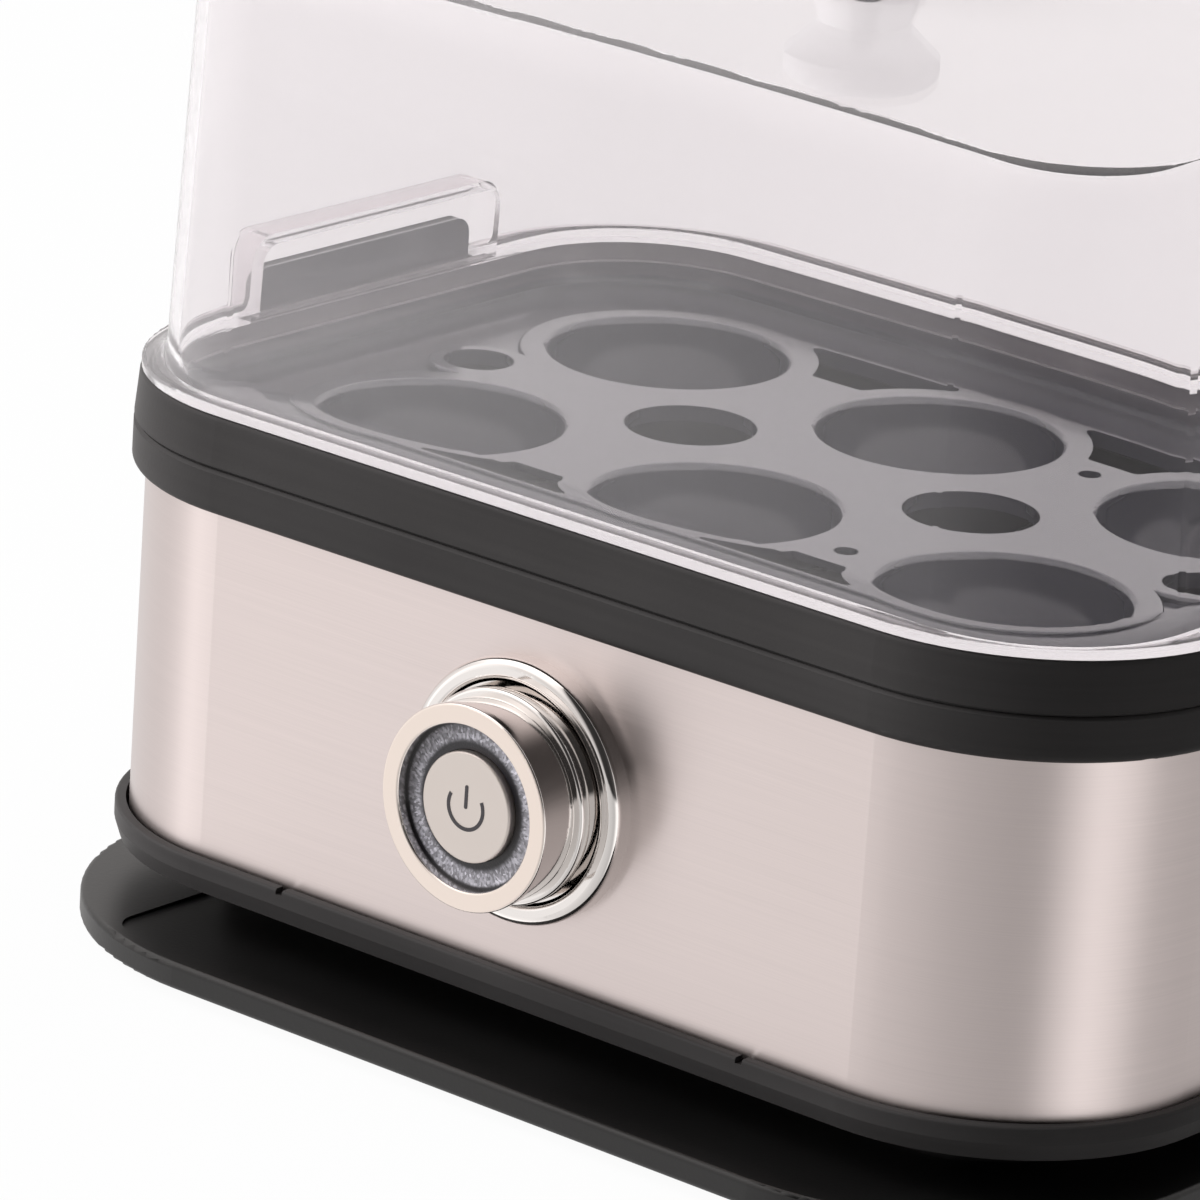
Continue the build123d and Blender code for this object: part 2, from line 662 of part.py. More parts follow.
# Wiring
def terminal_block():
    """Three-way block on the floor beside the way in for the lead."""
    body = brick(
        (BLOCK_X - BLOCK_LENGTH / 2, BLOCK_Y - BLOCK_WIDTH / 2, Z_FLOOR),
        (BLOCK_X + BLOCK_LENGTH / 2, BLOCK_Y + BLOCK_WIDTH / 2, Z_FLOOR + BLOCK_HEIGHT),
    )
    body = fillet(body.edges().filter_by(Axis.Z), BLOCK_ROUND)
    for way in (-1, 0, 1):
        x = BLOCK_X + way * BLOCK_PITCH
        plane = Plane(origin=(x, BLOCK_Y, Z_FLOOR + BLOCK_HEIGHT / 3), z_dir=(0, 1, 0))
        body -= plane.location * rod(BLOCK_HOLE_RADIUS, -BLOCK_WIDTH, BLOCK_WIDTH)
        top = Z_FLOOR + BLOCK_HEIGHT
        body -= rod(BLOCK_HOLE_RADIUS, top - BLOCK_HEIGHT / 2, top + CUT, x, BLOCK_Y)
    return body


def switch_bracket():
    """Bent plate on the floor that carries the switch and the lamp board."""
    face_y = STEEL_FACE_Y + BRACKET_FACE
    plate = brick(
        (BUTTON_X - BRACKET_WIDTH / 2, face_y, Z_FLOOR),
        (BUTTON_X + BRACKET_WIDTH / 2, face_y + BRACKET_THICKNESS, BUTTON_HEIGHT + BRACKET_ABOVE),
    )
    plate += brick(
        (BUTTON_X - BRACKET_WIDTH / 2, face_y, Z_FLOOR),
        (BUTTON_X + BRACKET_WIDTH / 2, face_y + BRACKET_FOOT, Z_FLOOR + BRACKET_THICKNESS),
    )
    return plate - on_button(
        rod(SWITCH_NECK_RADIUS + FIT_GAP, -BRACKET_FACE - BRACKET_THICKNESS - CUT, -BRACKET_FACE + CUT)
    )


def power_switch():
    """Push switch behind the bracket, with a bored neck that guides the rod."""
    back = -BRACKET_FACE - BRACKET_THICKNESS
    neck_front = -BRACKET_FACE + SWITCH_NECK_LENGTH
    body = extrude(
        Pos(0, 0, back - SWITCH_DEPTH) * RectangleRounded(SWITCH_WIDTH, SWITCH_HEIGHT, SWITCH_ROUND),
        SWITCH_DEPTH,
    )
    body += rod(SWITCH_NECK_RADIUS, back - CUT, neck_front)
    body -= rod(ROD_RADIUS + FIT_GAP, -ROD_END - BUTTON_TRAVEL - CUT, neck_front + CUT)
    for side in (-1, 1):
        x = side * SWITCH_WIDTH / 3
        body += brick(
            (x - TAB_THICKNESS / 2, -TAB_WIDTH / 2, back - SWITCH_DEPTH - TAB_LENGTH),
            (x + TAB_THICKNESS / 2, TAB_WIDTH / 2, back - SWITCH_DEPTH + CUT),
        )
    return on_button(body)


def indicator_board():
    """Round lamp board on the bracket's face, with a ring of lamps."""
    face = -BRACKET_FACE + BOARD_THICKNESS
    board = rod(BOARD_RADIUS, -BRACKET_FACE, face)
    board -= rod(SWITCH_NECK_RADIUS + FIT_GAP, -BRACKET_FACE - CUT, face + CUT)
    lamps = PolarLocations(LAMP_CIRCLE, LAMP_COUNT)
    board += [spot * rod(LAMP_RADIUS, face - CUT / 2, face + LAMP_HEIGHT) for spot in lamps]
    return on_button(board)


# Button
def button_bezel():
    """Chrome ring on the steel, with a tube through it."""
    ring_part = rod(BEZEL_RADIUS, 0, BEZEL_PROUD)
    ring_part = fillet(ring_part.edges().group_by(Axis.Z)[-1], BEZEL_ROUND)
    ring_part += rod(BEZEL_TUBE_RADIUS, -BEZEL_TUBE_LENGTH, CUT)
    ring_part -= rod(BEZEL_BORE, -BEZEL_TUBE_LENGTH - CUT, BEZEL_PROUD + CUT)
    return on_button(fillet(ring_part.edges().group_by(Axis.Z)[-1], BEZEL_ROUND / 2))


def bezel_nut():
    """Ring nut that clamps the bezel from inside the steel."""
    top = -STEEL_THICKNESS - SEAT_GAP / 2
    nut = rod(BEZEL_NUT_RADIUS, top - BEZEL_NUT_THICKNESS, top)
    nut -= rod(BEZEL_TUBE_RADIUS + SEAT_GAP, top - BEZEL_NUT_THICKNESS - CUT, top + CUT)
    for spot in PolarLocations(BEZEL_NUT_RADIUS, BEZEL_NUT_NOTCHES):
        nut -= spot * rod(BEZEL_NUT_NOTCH_RADIUS, top - BEZEL_NUT_THICKNESS - CUT, top + CUT)
    return on_button(nut)


def button_barrel():
    """Chrome push barrel: front rim, waist, bead and a guide land in the bezel's bore."""
    lip_back = BUTTON_PROUD - BARREL_LIP
    body = turned(
        [
            (BARREL_BORE, -BARREL_REAR),
            (LAND_RADIUS, -BARREL_REAR),
            (LAND_RADIUS, LAND_FRONT),
            (BARREL_WAIST, LAND_FRONT),
            (BARREL_WAIST, BEAD_FRONT - BEAD_WIDTH),
            (BEAD_RADIUS, BEAD_FRONT - BEAD_WIDTH),
            (BEAD_RADIUS, BEAD_FRONT),
            (BARREL_WAIST, BEAD_FRONT),
            (BARREL_WAIST, BUTTON_PROUD - BARREL_RIM),
            (BARREL_RADIUS, BUTTON_PROUD - BARREL_RIM),
            (BARREL_RADIUS, BUTTON_PROUD),
            (BARREL_FACE, BUTTON_PROUD),
            (BARREL_FACE, lip_back),
            (BARREL_BORE, lip_back),
        ]
    )
    body = fillet(on_level(body, BUTTON_PROUD), BARREL_RIM / 3)
    bead = on_level(body, BEAD_FRONT).sort_by(SortBy.RADIUS)[-1]
    return on_button(fillet(bead, BEAD_WIDTH / 3))


def light_ring():
    """Smoky light guide behind the barrel's lip, with a bowl for the cap."""
    front = BUTTON_PROUD - BARREL_LIP - SEAT_GAP / 2
    cap_back = BUTTON_PROUD - CAP_SINK - CAP_THICKNESS
    body = rod(BARREL_BORE - SEAT_GAP, front - RING_THICKNESS, front)
    return on_button(body - rod(RING_BOWL, cap_back - SEAT_GAP / 2, front + CUT))


def button_cap():
    """Satin disc that sits in the light ring, with a small notch at its foot."""
    front = BUTTON_PROUD - CAP_SINK
    cap = rod(RING_BOWL - SEAT_GAP, front - CAP_THICKNESS, front)
    return on_button(fillet(cap.edges().group_by(Axis.Z)[-1], CAP_SINK / 2))


def button_plunger():
    """Stem from the back of the light ring to the rod that enters the switch."""
    back = BUTTON_PROUD - BARREL_LIP - RING_THICKNESS - SEAT_GAP
    stem = rod(BARREL_BORE - SEAT_GAP, back - PLUNGER_FLANGE, back)
    stem += rod(PLUNGER_RADIUS, -PLUNGER_STEP, back)
    return on_button(stem + rod(ROD_RADIUS, -ROD_END, 0))


# Tray
def cup_form(grow, top, lip):
    """Turned bowl with bulging sides and an open mouth below, widened by grow."""
    low = Z_DECK - CUP_DEPTH
    shoulder = Z_DECK - lip
    rim = (CUP_RADIUS + grow, shoulder)
    mouth = (CUP_MOUTH + grow, low)
    side = SagittaArc(mouth, rim, -CUP_BULGE)
    lines = [Line((0, low), mouth), side]
    if lip:
        lines.append(RadiusArc(rim, (CUP_RADIUS + grow + lip, Z_DECK), lip))
        lines.append(Line((CUP_RADIUS + grow + lip, Z_DECK), (CUP_RADIUS + grow + lip, top)))
        lines.append(Line((CUP_RADIUS + grow + lip, top), (0, top)))
    else:
        lines.append(Line(rim, (0, top)))
    lines.append(Line((0, top), (0, low)))
    return revolve(make_face(Plane.XZ * Curve(children=lines)), Axis.Z)


def deck_outline():
    """Raised deck: lands round every cup and end hole, filled in between."""
    land = CUP_RADIUS + LAND_WIDTH
    deck = Rectangle(2 * CUP_PITCH, 2 * (WINDOW_FAR + WINDOW_BORDER))
    deck += Rectangle(2 * END_HOLE_X, 2 * (END_HOLE_RADIUS + END_LAND))
    deck += [Pos(x, y) * Circle(land) for x, y in CUP_CENTRES]
    deck += [Pos(x, 0) * Circle(END_HOLE_RADIUS + END_LAND) for x in (-END_HOLE_X, END_HOLE_X)]
    return deck


def window_outline():
    """Steam window between two cups: straight long sides, ends that follow the cups' lands."""
    land = CUP_RADIUS + LAND_WIDTH
    middle = (WINDOW_NEAR + WINDOW_FAR) / 2
    window = Pos(CUP_PITCH / 2, middle) * Rectangle(CUP_PITCH, WINDOW_FAR - WINDOW_NEAR)
    window -= Pos(0, CUP_PITCH / 2) * Circle(land)
    window -= Pos(CUP_PITCH, CUP_PITCH / 2) * Circle(land)
    return fillet(window.vertices(), WINDOW_ROUND)


def handle_tab(side):
    """Upright tab that stands on the rim at one end."""
    x = side * (BODY_HALF_LENGTH - HANDLE_INSET)
    root = Z_RIM - HANDLE_ROOT
    face = Plane(origin=(x - HANDLE_THICKNESS / 2, 0, root), x_dir=(0, 1, 0), z_dir=(1, 0, 0))
    height = HANDLE_RISE + HANDLE_ROOT
    shape = Pos(0, height / 2) * Rectangle(2 * HANDLE_HALF_WIDTH, height)
    shape = fillet(shape.vertices().group_by(Axis.Y)[-1], HANDLE_ROUND)
    return extrude(face * shape, HANDLE_THICKNESS)


def egg_tray():
    """Pierced tray with six open cups, steam holes, a broad rim and two handle tabs."""
    tray = extrude(outline(0, Z_TRAY), Z_RIM - Z_TRAY, taper=RIM_DRAFT)
    tray = fillet(tray.edges().group_by(Axis.Z)[-1], RIM_ROUND)
    tray = chamfer(tray.edges().group_by(Axis.Z)[0], SEAM_CHAMFER)
    basin = outline(-BASIN_GROW, Z_RIM, LID)
    tray -= extrude(basin, Z_RIM - Z_GUTTER, dir=(0, 0, -1), taper=BASIN_DRAFT)
    spigot = REBATE_INSET + SLIDE_GAP
    tray += ring(spigot, spigot + SPIGOT_WALL, Z_TRAY - SPIGOT_DEPTH, Z_GUTTER)
    deck = extrude(Pos(0, 0, Z_TRAY) * deck_outline(), Z_DECK - Z_TRAY)
    tray += fillet(deck.edges().group_by(Axis.Z)[-1], DECK_EDGE_ROUND)

    outer = cup_form(CUP_WALL, Z_DECK - CUP_LIP, 0)
    inner = cup_form(0, Z_DECK + CUT, CUP_LIP)
    tray += [Pos(x, y) * outer for x, y in CUP_CENTRES]
    tray -= [Pos(x, y) * inner for x, y in CUP_CENTRES]
    low = Z_TRAY - CUP_DEPTH
    high = Z_DECK + CUT
    tray -= rods(STEAM_HOLE_RADIUS, low, high, GAP_CENTRES)
    tray -= rods(END_HOLE_RADIUS, low, high, [(-END_HOLE_X, 0), (END_HOLE_X, 0)])
    tray -= rods(DOT_RADIUS, low, high, [(CUP_PITCH / 2, -DOT_Y), (CUP_PITCH / 2, DOT_Y)])
    window = extrude(Pos(0, 0, low) * window_outline(), high - low)
    for turn in (window, window.mirror(Plane.YZ)):
        tray -= [turn, turn.mirror(Plane.XZ)]
    return tray + [handle_tab(side) for side in (-1, 1)]


# Lid
def dome_cutter(sink):
    """Turned block that lies on the lid's dome, lowered by sink."""
    radius = DOME_RADIUS - sink
    top = Z_LID_TOP - sink
    reach = BODY_HALF_LENGTH + BODY_HALF_WIDTH
    edge = top - radius + math.sqrt(radius**2 - reach**2)
    roof = Z_LID_TOP + LID_RISE
    lines = [
        RadiusArc((0, top), (reach, edge), radius),
        Line((reach, edge), (reach, roof)),
        Line((reach, roof), (0, roof)),
        Line((0, roof), (0, top)),
    ]
    return revolve(make_face(Plane.XZ * Curve(children=lines)), Axis.Z)


def bell(inset, sink, corner_round):
    """Drafted lid form under a dome, drawn in by inset and lowered by sink."""
    form = extrude(outline(inset, Z_FLANGE, LID), LID_RISE + DOME_MARGIN, taper=LID_DRAFT)
    form -= dome_cutter(sink)
    return fillet(form.faces().sort_by(Axis.Z)[-1].edges(), corner_round)


def pocket(start, shrink, low):
    """Bulge in the lid's right end over a handle tab, from start outwards, drawn in by shrink."""
    face_x = BODY_HALF_LENGTH - POCKET_FACE_INSET - shrink
    width = 2 * (POCKET_HALF_WIDTH - shrink)
    height = Z_FLANGE + POCKET_HEIGHT - shrink - low
    plane = Plane(origin=(start, 0, low), x_dir=(0, 1, 0), z_dir=(1, 0, 0))
    shape = Pos(0, height / 2) * Rectangle(width, height)
    shape = fillet(shape.vertices().group_by(Axis.Y)[-1], POCKET_CORNER - shrink)
    return extrude(plane * shape, face_x - start)


def pocket_skin(start):
    """Outer form of a pocket, with its front edge rounded."""
    form = pocket(start, 0, Z_FLANGE)
    front = form.faces().sort_by(Axis.X)[-1].edges().sort_by(Axis.Z)[1:]
    return fillet(front, POCKET_ROUND)


def both_ends(solid):
    """A solid at the right end and its mirror image at the left end."""
    return [solid, solid.mirror(Plane.YZ)]


def lid_shell():
    """Clear lid: drafted walls, domed top, flange, skirt and an end pocket over each tab."""
    lid = bell(0, 0, LID_TOP_ROUND)
    seam = Z_FLANGE + FLANGE_THICKNESS
    flange = slab(FLANGE_INSET, Z_FLANGE, seam)
    lid += fillet(flange.edges().group_by(Axis.Z)[-1], FLANGE_ROUND)
    joint = [e for e in on_level(lid, seam) if abs(inset_of(e @ 0.5, LID)) < INSET_BAND]
    lid = fillet(joint, FLANGE_FILLET)
    skirt_low = Z_FLANGE - SKIRT_DEPTH
    lid += slab(SKIRT_INSET, skirt_low, Z_FLANGE, LID)
    lid += both_ends(pocket_skin(LID_HALF_LENGTH - LID_WALL))

    lid -= bell(LID_WALL, LID_WALL, LID_TOP_ROUND - LID_WALL)
    lid -= slab(SKIRT_INSET + SKIRT_WALL, skirt_low - CUT, Z_FLANGE, LID)
    inside = LID_HALF_LENGTH - LID_WALL - LID_TOP_ROUND
    lid -= both_ends(pocket(inside, POCKET_WALL, Z_FLANGE + POCKET_SILL))
    lid -= both_ends(pocket(LID_HALF_LENGTH + POCKET_SLOT_GAP, POCKET_WALL, Z_FLANGE - CUT))
    lid -= rod(SCREW_RADIUS + FIT_GAP, Z_FLANGE, Z_LID_TOP + CUT)
    first = -VENT_PITCH * (VENT_COUNT - 1) / 2
    vents = [(first + VENT_PITCH * i, VENT_Y) for i in range(VENT_COUNT)]
    return lid - rods(VENT_RADIUS, Z_FLANGE, Z_LID_TOP + CUT, vents)


def lid_knob():
    """Waisted knob on the lid's top."""
    low = Z_LID_TOP + WASHER_THICKNESS
    high = low + KNOB_HEIGHT
    knob = turned(
        [
            (0, low),
            (KNOB_BASE_RADIUS, low),
            (KNOB_WAIST_RADIUS, low + KNOB_HEIGHT / 3),
            (KNOB_RADIUS, low + KNOB_HEIGHT * 2 / 3),
            (KNOB_RADIUS, high),
            (0, high),
        ]
    )
    knob = fillet(knob.edges().group_by(Axis.Z)[-1], KNOB_ROUND)
    return knob - rod(SCREW_RADIUS + SEAT_GAP, low - CUT, low + KNOB_SCREW_BITE + CUT)


def knob_washer():
    """Soft washer between the knob and the lid."""
    washer = rod(WASHER_RADIUS, Z_LID_TOP, Z_LID_TOP + WASHER_THICKNESS)
    return washer - rod(SCREW_RADIUS + FIT_GAP, Z_LID_TOP - CUT, Z_LID_TOP + 2 * CUT)


def knob_screw():
    """Screw from inside the lid into the knob."""
    length = SEAT_GAP + LID_WALL + WASHER_THICKNESS + KNOB_SCREW_BITE
    return Pos(0, 0, Z_LID_TOP - LID_WALL - SEAT_GAP) * screw(length)


PIECES = [
    base_plate,
    rubber_feet,
    base_screws,
    plinth,
    cord_gland,
    bottom_cover,
    body_screws,
    steel_sleeve,
    collar,
    heating_pan,
    pan_seal,
    heating_element,
    thermostat,
    thermostat_bracket,
    bracket_nuts,
    thermal_fuse,
    terminal_block,
    switch_bracket,
    power_switch,
    indicator_board,
    button_bezel,
    bezel_nut,
    button_barrel,
    light_ring,
    button_cap,
    button_plunger,
    egg_tray,
    lid_shell,
    lid_knob,
    knob_washer,
    knob_screw,
]

os.makedirs("parts", exist_ok=True)
for piece in PIECES:
    export_step(piece(), os.path.join("parts", piece.__name__ + ".step"))
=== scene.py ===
"""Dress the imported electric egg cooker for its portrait.

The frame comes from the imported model. This script gives every piece its finish, adds the printed
power sign on the button, and sets the camera, the pale stage and the studio light.
"""

import json
import logging
import math
from dataclasses import dataclass, field
from enum import Enum

import bmesh
import bpy
from mathutils import Matrix, Vector

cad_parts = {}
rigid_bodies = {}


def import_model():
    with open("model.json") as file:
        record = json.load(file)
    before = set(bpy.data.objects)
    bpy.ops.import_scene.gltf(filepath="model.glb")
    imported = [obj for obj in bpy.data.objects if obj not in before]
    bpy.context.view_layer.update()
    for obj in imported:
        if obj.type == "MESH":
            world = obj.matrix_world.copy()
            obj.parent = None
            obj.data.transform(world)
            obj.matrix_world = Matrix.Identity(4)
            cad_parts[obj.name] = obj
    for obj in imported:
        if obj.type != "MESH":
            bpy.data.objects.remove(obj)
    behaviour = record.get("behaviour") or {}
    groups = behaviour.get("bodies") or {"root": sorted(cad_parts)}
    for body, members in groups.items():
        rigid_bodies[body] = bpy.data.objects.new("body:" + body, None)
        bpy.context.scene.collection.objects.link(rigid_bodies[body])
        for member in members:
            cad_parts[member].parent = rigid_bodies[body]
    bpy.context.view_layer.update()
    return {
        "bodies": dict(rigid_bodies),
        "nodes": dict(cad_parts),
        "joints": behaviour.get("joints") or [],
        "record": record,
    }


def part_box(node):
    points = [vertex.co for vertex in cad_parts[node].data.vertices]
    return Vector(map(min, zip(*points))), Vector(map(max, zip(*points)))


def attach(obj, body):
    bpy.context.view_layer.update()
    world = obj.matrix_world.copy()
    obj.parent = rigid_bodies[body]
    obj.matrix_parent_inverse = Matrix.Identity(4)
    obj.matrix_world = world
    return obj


LOG = logging.getLogger("egg_cooker")
MM = 0.001
FULL_TURN = 360.0

Colour = tuple[float, float, float]
Waves = tuple[float, float, float]
Span = tuple[float, float]
Stops = tuple[tuple[float, float], ...]

WHITE: Colour = (1.0, 1.0, 1.0)


class Blend(Enum):
    """Ways in which two colours are laid over each other."""

    MIX = "MIX"
    MULTIPLY = "MULTIPLY"


class Slope(Enum):
    """Ways in which a value goes from one end of a range to the other."""

    STRAIGHT = "LINEAR"
    SOFT = "SMOOTHSTEP"


class Space(Enum):
    """Coordinates that a pattern is laid out in."""

    PIECE = "Object"
    SKY = "Generated"


class Detail(Enum):
    """Octaves of finer noise on a coarse one."""

    SMOOTH = 1.0
    PLAIN = 2.0
    FINE = 3.0
    DUSTY = 4.0


class NodeSheet:
    """A shader tree that is filled from left to right with short calls."""

    def __init__(self, tree: bpy.types.NodeTree) -> None:
        """Take over a tree and empty it.

        Args:
            tree: The node tree of a material or a world.
        """
        self.tree = tree
        self.tree.nodes.clear()

    def add(self, kind: str, **settings: object) -> bpy.types.Node:
        """Add a node and set its plain properties.

        Args:
            kind: Node type without its ShaderNode prefix.
            settings: Properties of the node and their values.

        Returns:
            The new node.
        """
        node = self.tree.nodes.new("ShaderNode" + kind)
        for name, value in settings.items():
            setattr(node, name, value)
        return node

    def join(self, source: bpy.types.NodeSocket, target: bpy.types.NodeSocket) -> None:
        """Link an output to an input."""
        self.tree.links.new(source, target)

    def feed(self, value: object, target: bpy.types.NodeSocket) -> None:
        """Give an input a socket, a number or a colour.

        Args:
            value: What the input gets.
            target: The input.
        """
        if isinstance(value, bpy.types.NodeSocket):
            self.join(value, target)
        elif isinstance(value, tuple):
            target.default_value = (*value, 1.0)
        else:
            target.default_value = value

    def math(self, operation: str, first: object, second: object = 0.0) -> bpy.types.NodeSocket:
        """Add a Math node on two sockets or numbers.

        Args:
            operation: Name of the operation.
            first: Socket or number on the first input.
            second: Socket or number on the second input.

        Returns:
            The result socket.
        """
        node = self.add("Math", operation=operation)
        self.feed(first, node.inputs[0])
        self.feed(second, node.inputs[1])
        return node.outputs[0]

    def weigh(
        self, first: bpy.types.NodeSocket, second: bpy.types.NodeSocket, share: float
    ) -> bpy.types.NodeSocket:
        """Add two values by weight.

        Args:
            first: The first value.
            second: The second value.
            share: Weight of the first value. The second one gets the rest.

        Returns:
            The sum.
        """
        rest = 1.0 - share
        return self.math("ADD", self.math("MULTIPLY", first, share), self.math("MULTIPLY", second, rest))

    def axes(self, space: Space = Space.PIECE) -> bpy.types.NodeOutputs:
        """Split a position into its axes.

        Args:
            space: Coordinates that the position is read in.

        Returns:
            The outputs X, Y and Z.
        """
        place = self.add("TexCoord")
        parts = self.add("SeparateXYZ")
        self.join(place.outputs[space.value], parts.inputs["Vector"])
        return parts.outputs

    def noise(self, waves: Waves, detail: Detail = Detail.PLAIN) -> bpy.types.NodeSocket:
        """Add noise on the piece's own coordinates.

        Args:
            waves: Waves per metre along X, Y and Z.
            detail: How much finer noise lies on it.

        Returns:
            The noise value, from 0 to 1.
        """
        place = self.add("TexCoord")
        scale = self.add("Mapping")
        scale.inputs["Scale"].default_value = waves
        grain = self.add("TexNoise")
        grain.inputs["Scale"].default_value = 1.0
        grain.inputs["Detail"].default_value = detail.value
        self.join(place.outputs[Space.PIECE.value], scale.inputs["Vector"])
        self.join(scale.outputs["Vector"], grain.inputs["Vector"])
        return grain.outputs["Fac"]

    def ramp(
        self,
        value: bpy.types.NodeSocket,
        start: Span,
        result: Span = (0.0, 1.0),
        slope: Slope = Slope.STRAIGHT,
    ) -> bpy.types.NodeSocket:
        """Map one range of a value to another one and hold the ends.

        Args:
            value: The value to map.
            start: The range that is read.
            result: What its two ends become.
            slope: How the value goes from end to end.

        Returns:
            The mapped value.
        """
        node = self.add("MapRange", interpolation_type=slope.value)
        names = ("From Min", "From Max", "To Min", "To Max")
        for name, number in zip(names, (*start, *result)):
            node.inputs[name].default_value = number
        self.join(value, node.inputs["Value"])
        return node.outputs["Result"]

    def spread(self, value: bpy.types.NodeSocket, low: float, high: float) -> bpy.types.NodeSocket:
        """Stretch a value between 0 and 1 to a new range.

        Args:
            value: The value to stretch.
            low: What 0 becomes.
            high: What 1 becomes.

        Returns:
            The stretched value.
        """
        return self.ramp(value, (0.0, 1.0), (low, high))

    def tone(
        self, share: bpy.types.NodeSocket, first: object, second: object, blend: Blend = Blend.MIX
    ) -> bpy.types.NodeSocket:
        """Lay one colour over another by a value.

        Args:
            share: 0 gives the first colour and 1 the second, laid over it.
            first: The first colour, as a socket or three numbers.
            second: The second colour, likewise.
            blend: How the second colour lies over the first.

        Returns:
            The mixed colour.
        """
        node = self.add("Mix", data_type="RGBA", blend_type=blend.value)
        self.join(share, node.inputs["Factor"])
        self.feed(first, node.inputs["A"])
        self.feed(second, node.inputs["B"])
        return node.outputs["Result"]

    def bump(self, height: bpy.types.NodeSocket, strength: float, distance: float) -> bpy.types.NodeSocket:
        """Turn a height into a bumped normal.

        Args:
            height: The height, from 0 to 1.
            strength: Share of the bump that shows.
            distance: Real height of the relief, in metres.

        Returns:
            The normal.
        """
        node = self.add("Bump")
        node.inputs["Strength"].default_value = strength
        node.inputs["Distance"].default_value = distance
        self.join(height, node.inputs["Height"])
        return node.outputs["Normal"]

    def polar_about(self, centre: Vector) -> tuple[bpy.types.NodeSocket, bpy.types.NodeSocket]:
        """Distance from an axis along Y, in metres, and the turn about it.

        Args:
            centre: A point on the axis.

        Returns:
            The distance, and the turn as a share of a full turn.
        """
        parts = self.axes()
        across = self.math("SUBTRACT", parts["X"], centre.x)
        along = self.math("SUBTRACT", parts["Z"], centre.z)
        squared = self.math("ADD", self.math("POWER", across, 2.0), self.math("POWER", along, 2.0))
        turn = self.math("DIVIDE", self.math("ARCTAN2", along, across), math.tau)
        return self.math("SQRT", squared), turn

    def seen(self, ray: bpy.types.Node) -> bpy.types.NodeSocket:
        """Tell what is looked at, also through the clear lid, from what only lights or is mirrored.

        Args:
            ray: A Light Path node.

        Returns:
            1 where the camera looks and 0 elsewhere.
        """
        return self.math("MAXIMUM", ray.outputs["Is Camera Ray"], ray.outputs["Is Transmission Ray"])

    def choose(
        self, share: bpy.types.NodeSocket, first: bpy.types.NodeSocket, second: bpy.types.NodeSocket
    ) -> bpy.types.NodeSocket:
        """Mix two shaders by a value.

        Args:
            share: 0 gives the first shader and 1 the second.
            first: The first shader.
            second: The second shader.

        Returns:
            The mixed shader.
        """
        node = self.add("MixShader")
        for source, target in zip((share, first, second), node.inputs):
            self.join(source, target)
        return node.outputs["Shader"]


@dataclass(frozen=True)
class Finish:
    """A finish with its colour, shared by every kind of surface."""

    name: str
    colour: Colour
    roughness: float

    def shade(self, sheet: NodeSheet, surface: bpy.types.Node) -> None:
        """Add the finish's own nodes. Each kind of finish fills this in.

        Args:
            sheet: Nodes of the material.
            surface: Its Principled shader.
        """

    def scaled(self, factor: float, lift: float = 0.0) -> Colour:
        """Darken or lighten the finish's colour.

        Args:
            factor: What each channel is multiplied by.
            lift: What is added to each channel.

        Returns:
            The new colour.
        """
        return tuple(channel * factor + lift for channel in self.colour)

    def build(self) -> bpy.types.Material:
        """Make the material.

        Returns:
            The new material.
        """
        material = bpy.data.materials.new(self.name)
        material.use_nodes = True
        sheet = NodeSheet(material.node_tree)
        surface = sheet.add("BsdfPrincipled")
        sheet.feed(self.colour, surface.inputs["Base Color"])
        surface.inputs["Roughness"].default_value = self.roughness
        self.shade(sheet, surface)
        end = sheet.add("OutputMaterial")
        sheet.join(surface.outputs["BSDF"], end.inputs["Surface"])
        return material


@dataclass(frozen=True)
class MouldedPlastic(Finish):
    """Moulded plastic with a fine spark-eroded grain and faint drawn marks."""

    specular: float = 0.5
    grain_waves: Waves = (1500.0, 1500.0, 1500.0)
    grain_depth: float = 0.00004
    grain_strength: float = 0.5
    cloud_waves: Waves = (26.0, 26.0, 26.0)
    cloud_share: float = 0.6
    drawn_waves: Waves = (18.0, 18.0, 700.0)
    darkest: float = 0.75
    lightest: float = 1.5
    lift: float = 0.001
    duller: float = 0.06
    shinier: float = 0.05

    def shade(self, sheet: NodeSheet, surface: bpy.types.Node) -> None:
        """Add the grain, a soft change of gloss and a patchy change of tone.

        Args:
            sheet: Nodes of the material.
            surface: Its Principled shader.
        """
        cloud = sheet.noise(self.cloud_waves, Detail.FINE)
        patchy = sheet.weigh(cloud, sheet.noise(self.drawn_waves), self.cloud_share)
        darker, lighter = self.scaled(self.darkest), self.scaled(self.lightest, self.lift)
        sheet.join(sheet.tone(patchy, darker, lighter), surface.inputs["Base Color"])
        gloss = sheet.spread(cloud, self.roughness - self.shinier, self.roughness + self.duller)
        sheet.join(gloss, surface.inputs["Roughness"])
        grain = sheet.noise(self.grain_waves, Detail.FINE)
        sheet.join(sheet.bump(grain, self.grain_strength, self.grain_depth), surface.inputs["Normal"])
        surface.inputs["Specular IOR Level"].default_value = self.specular


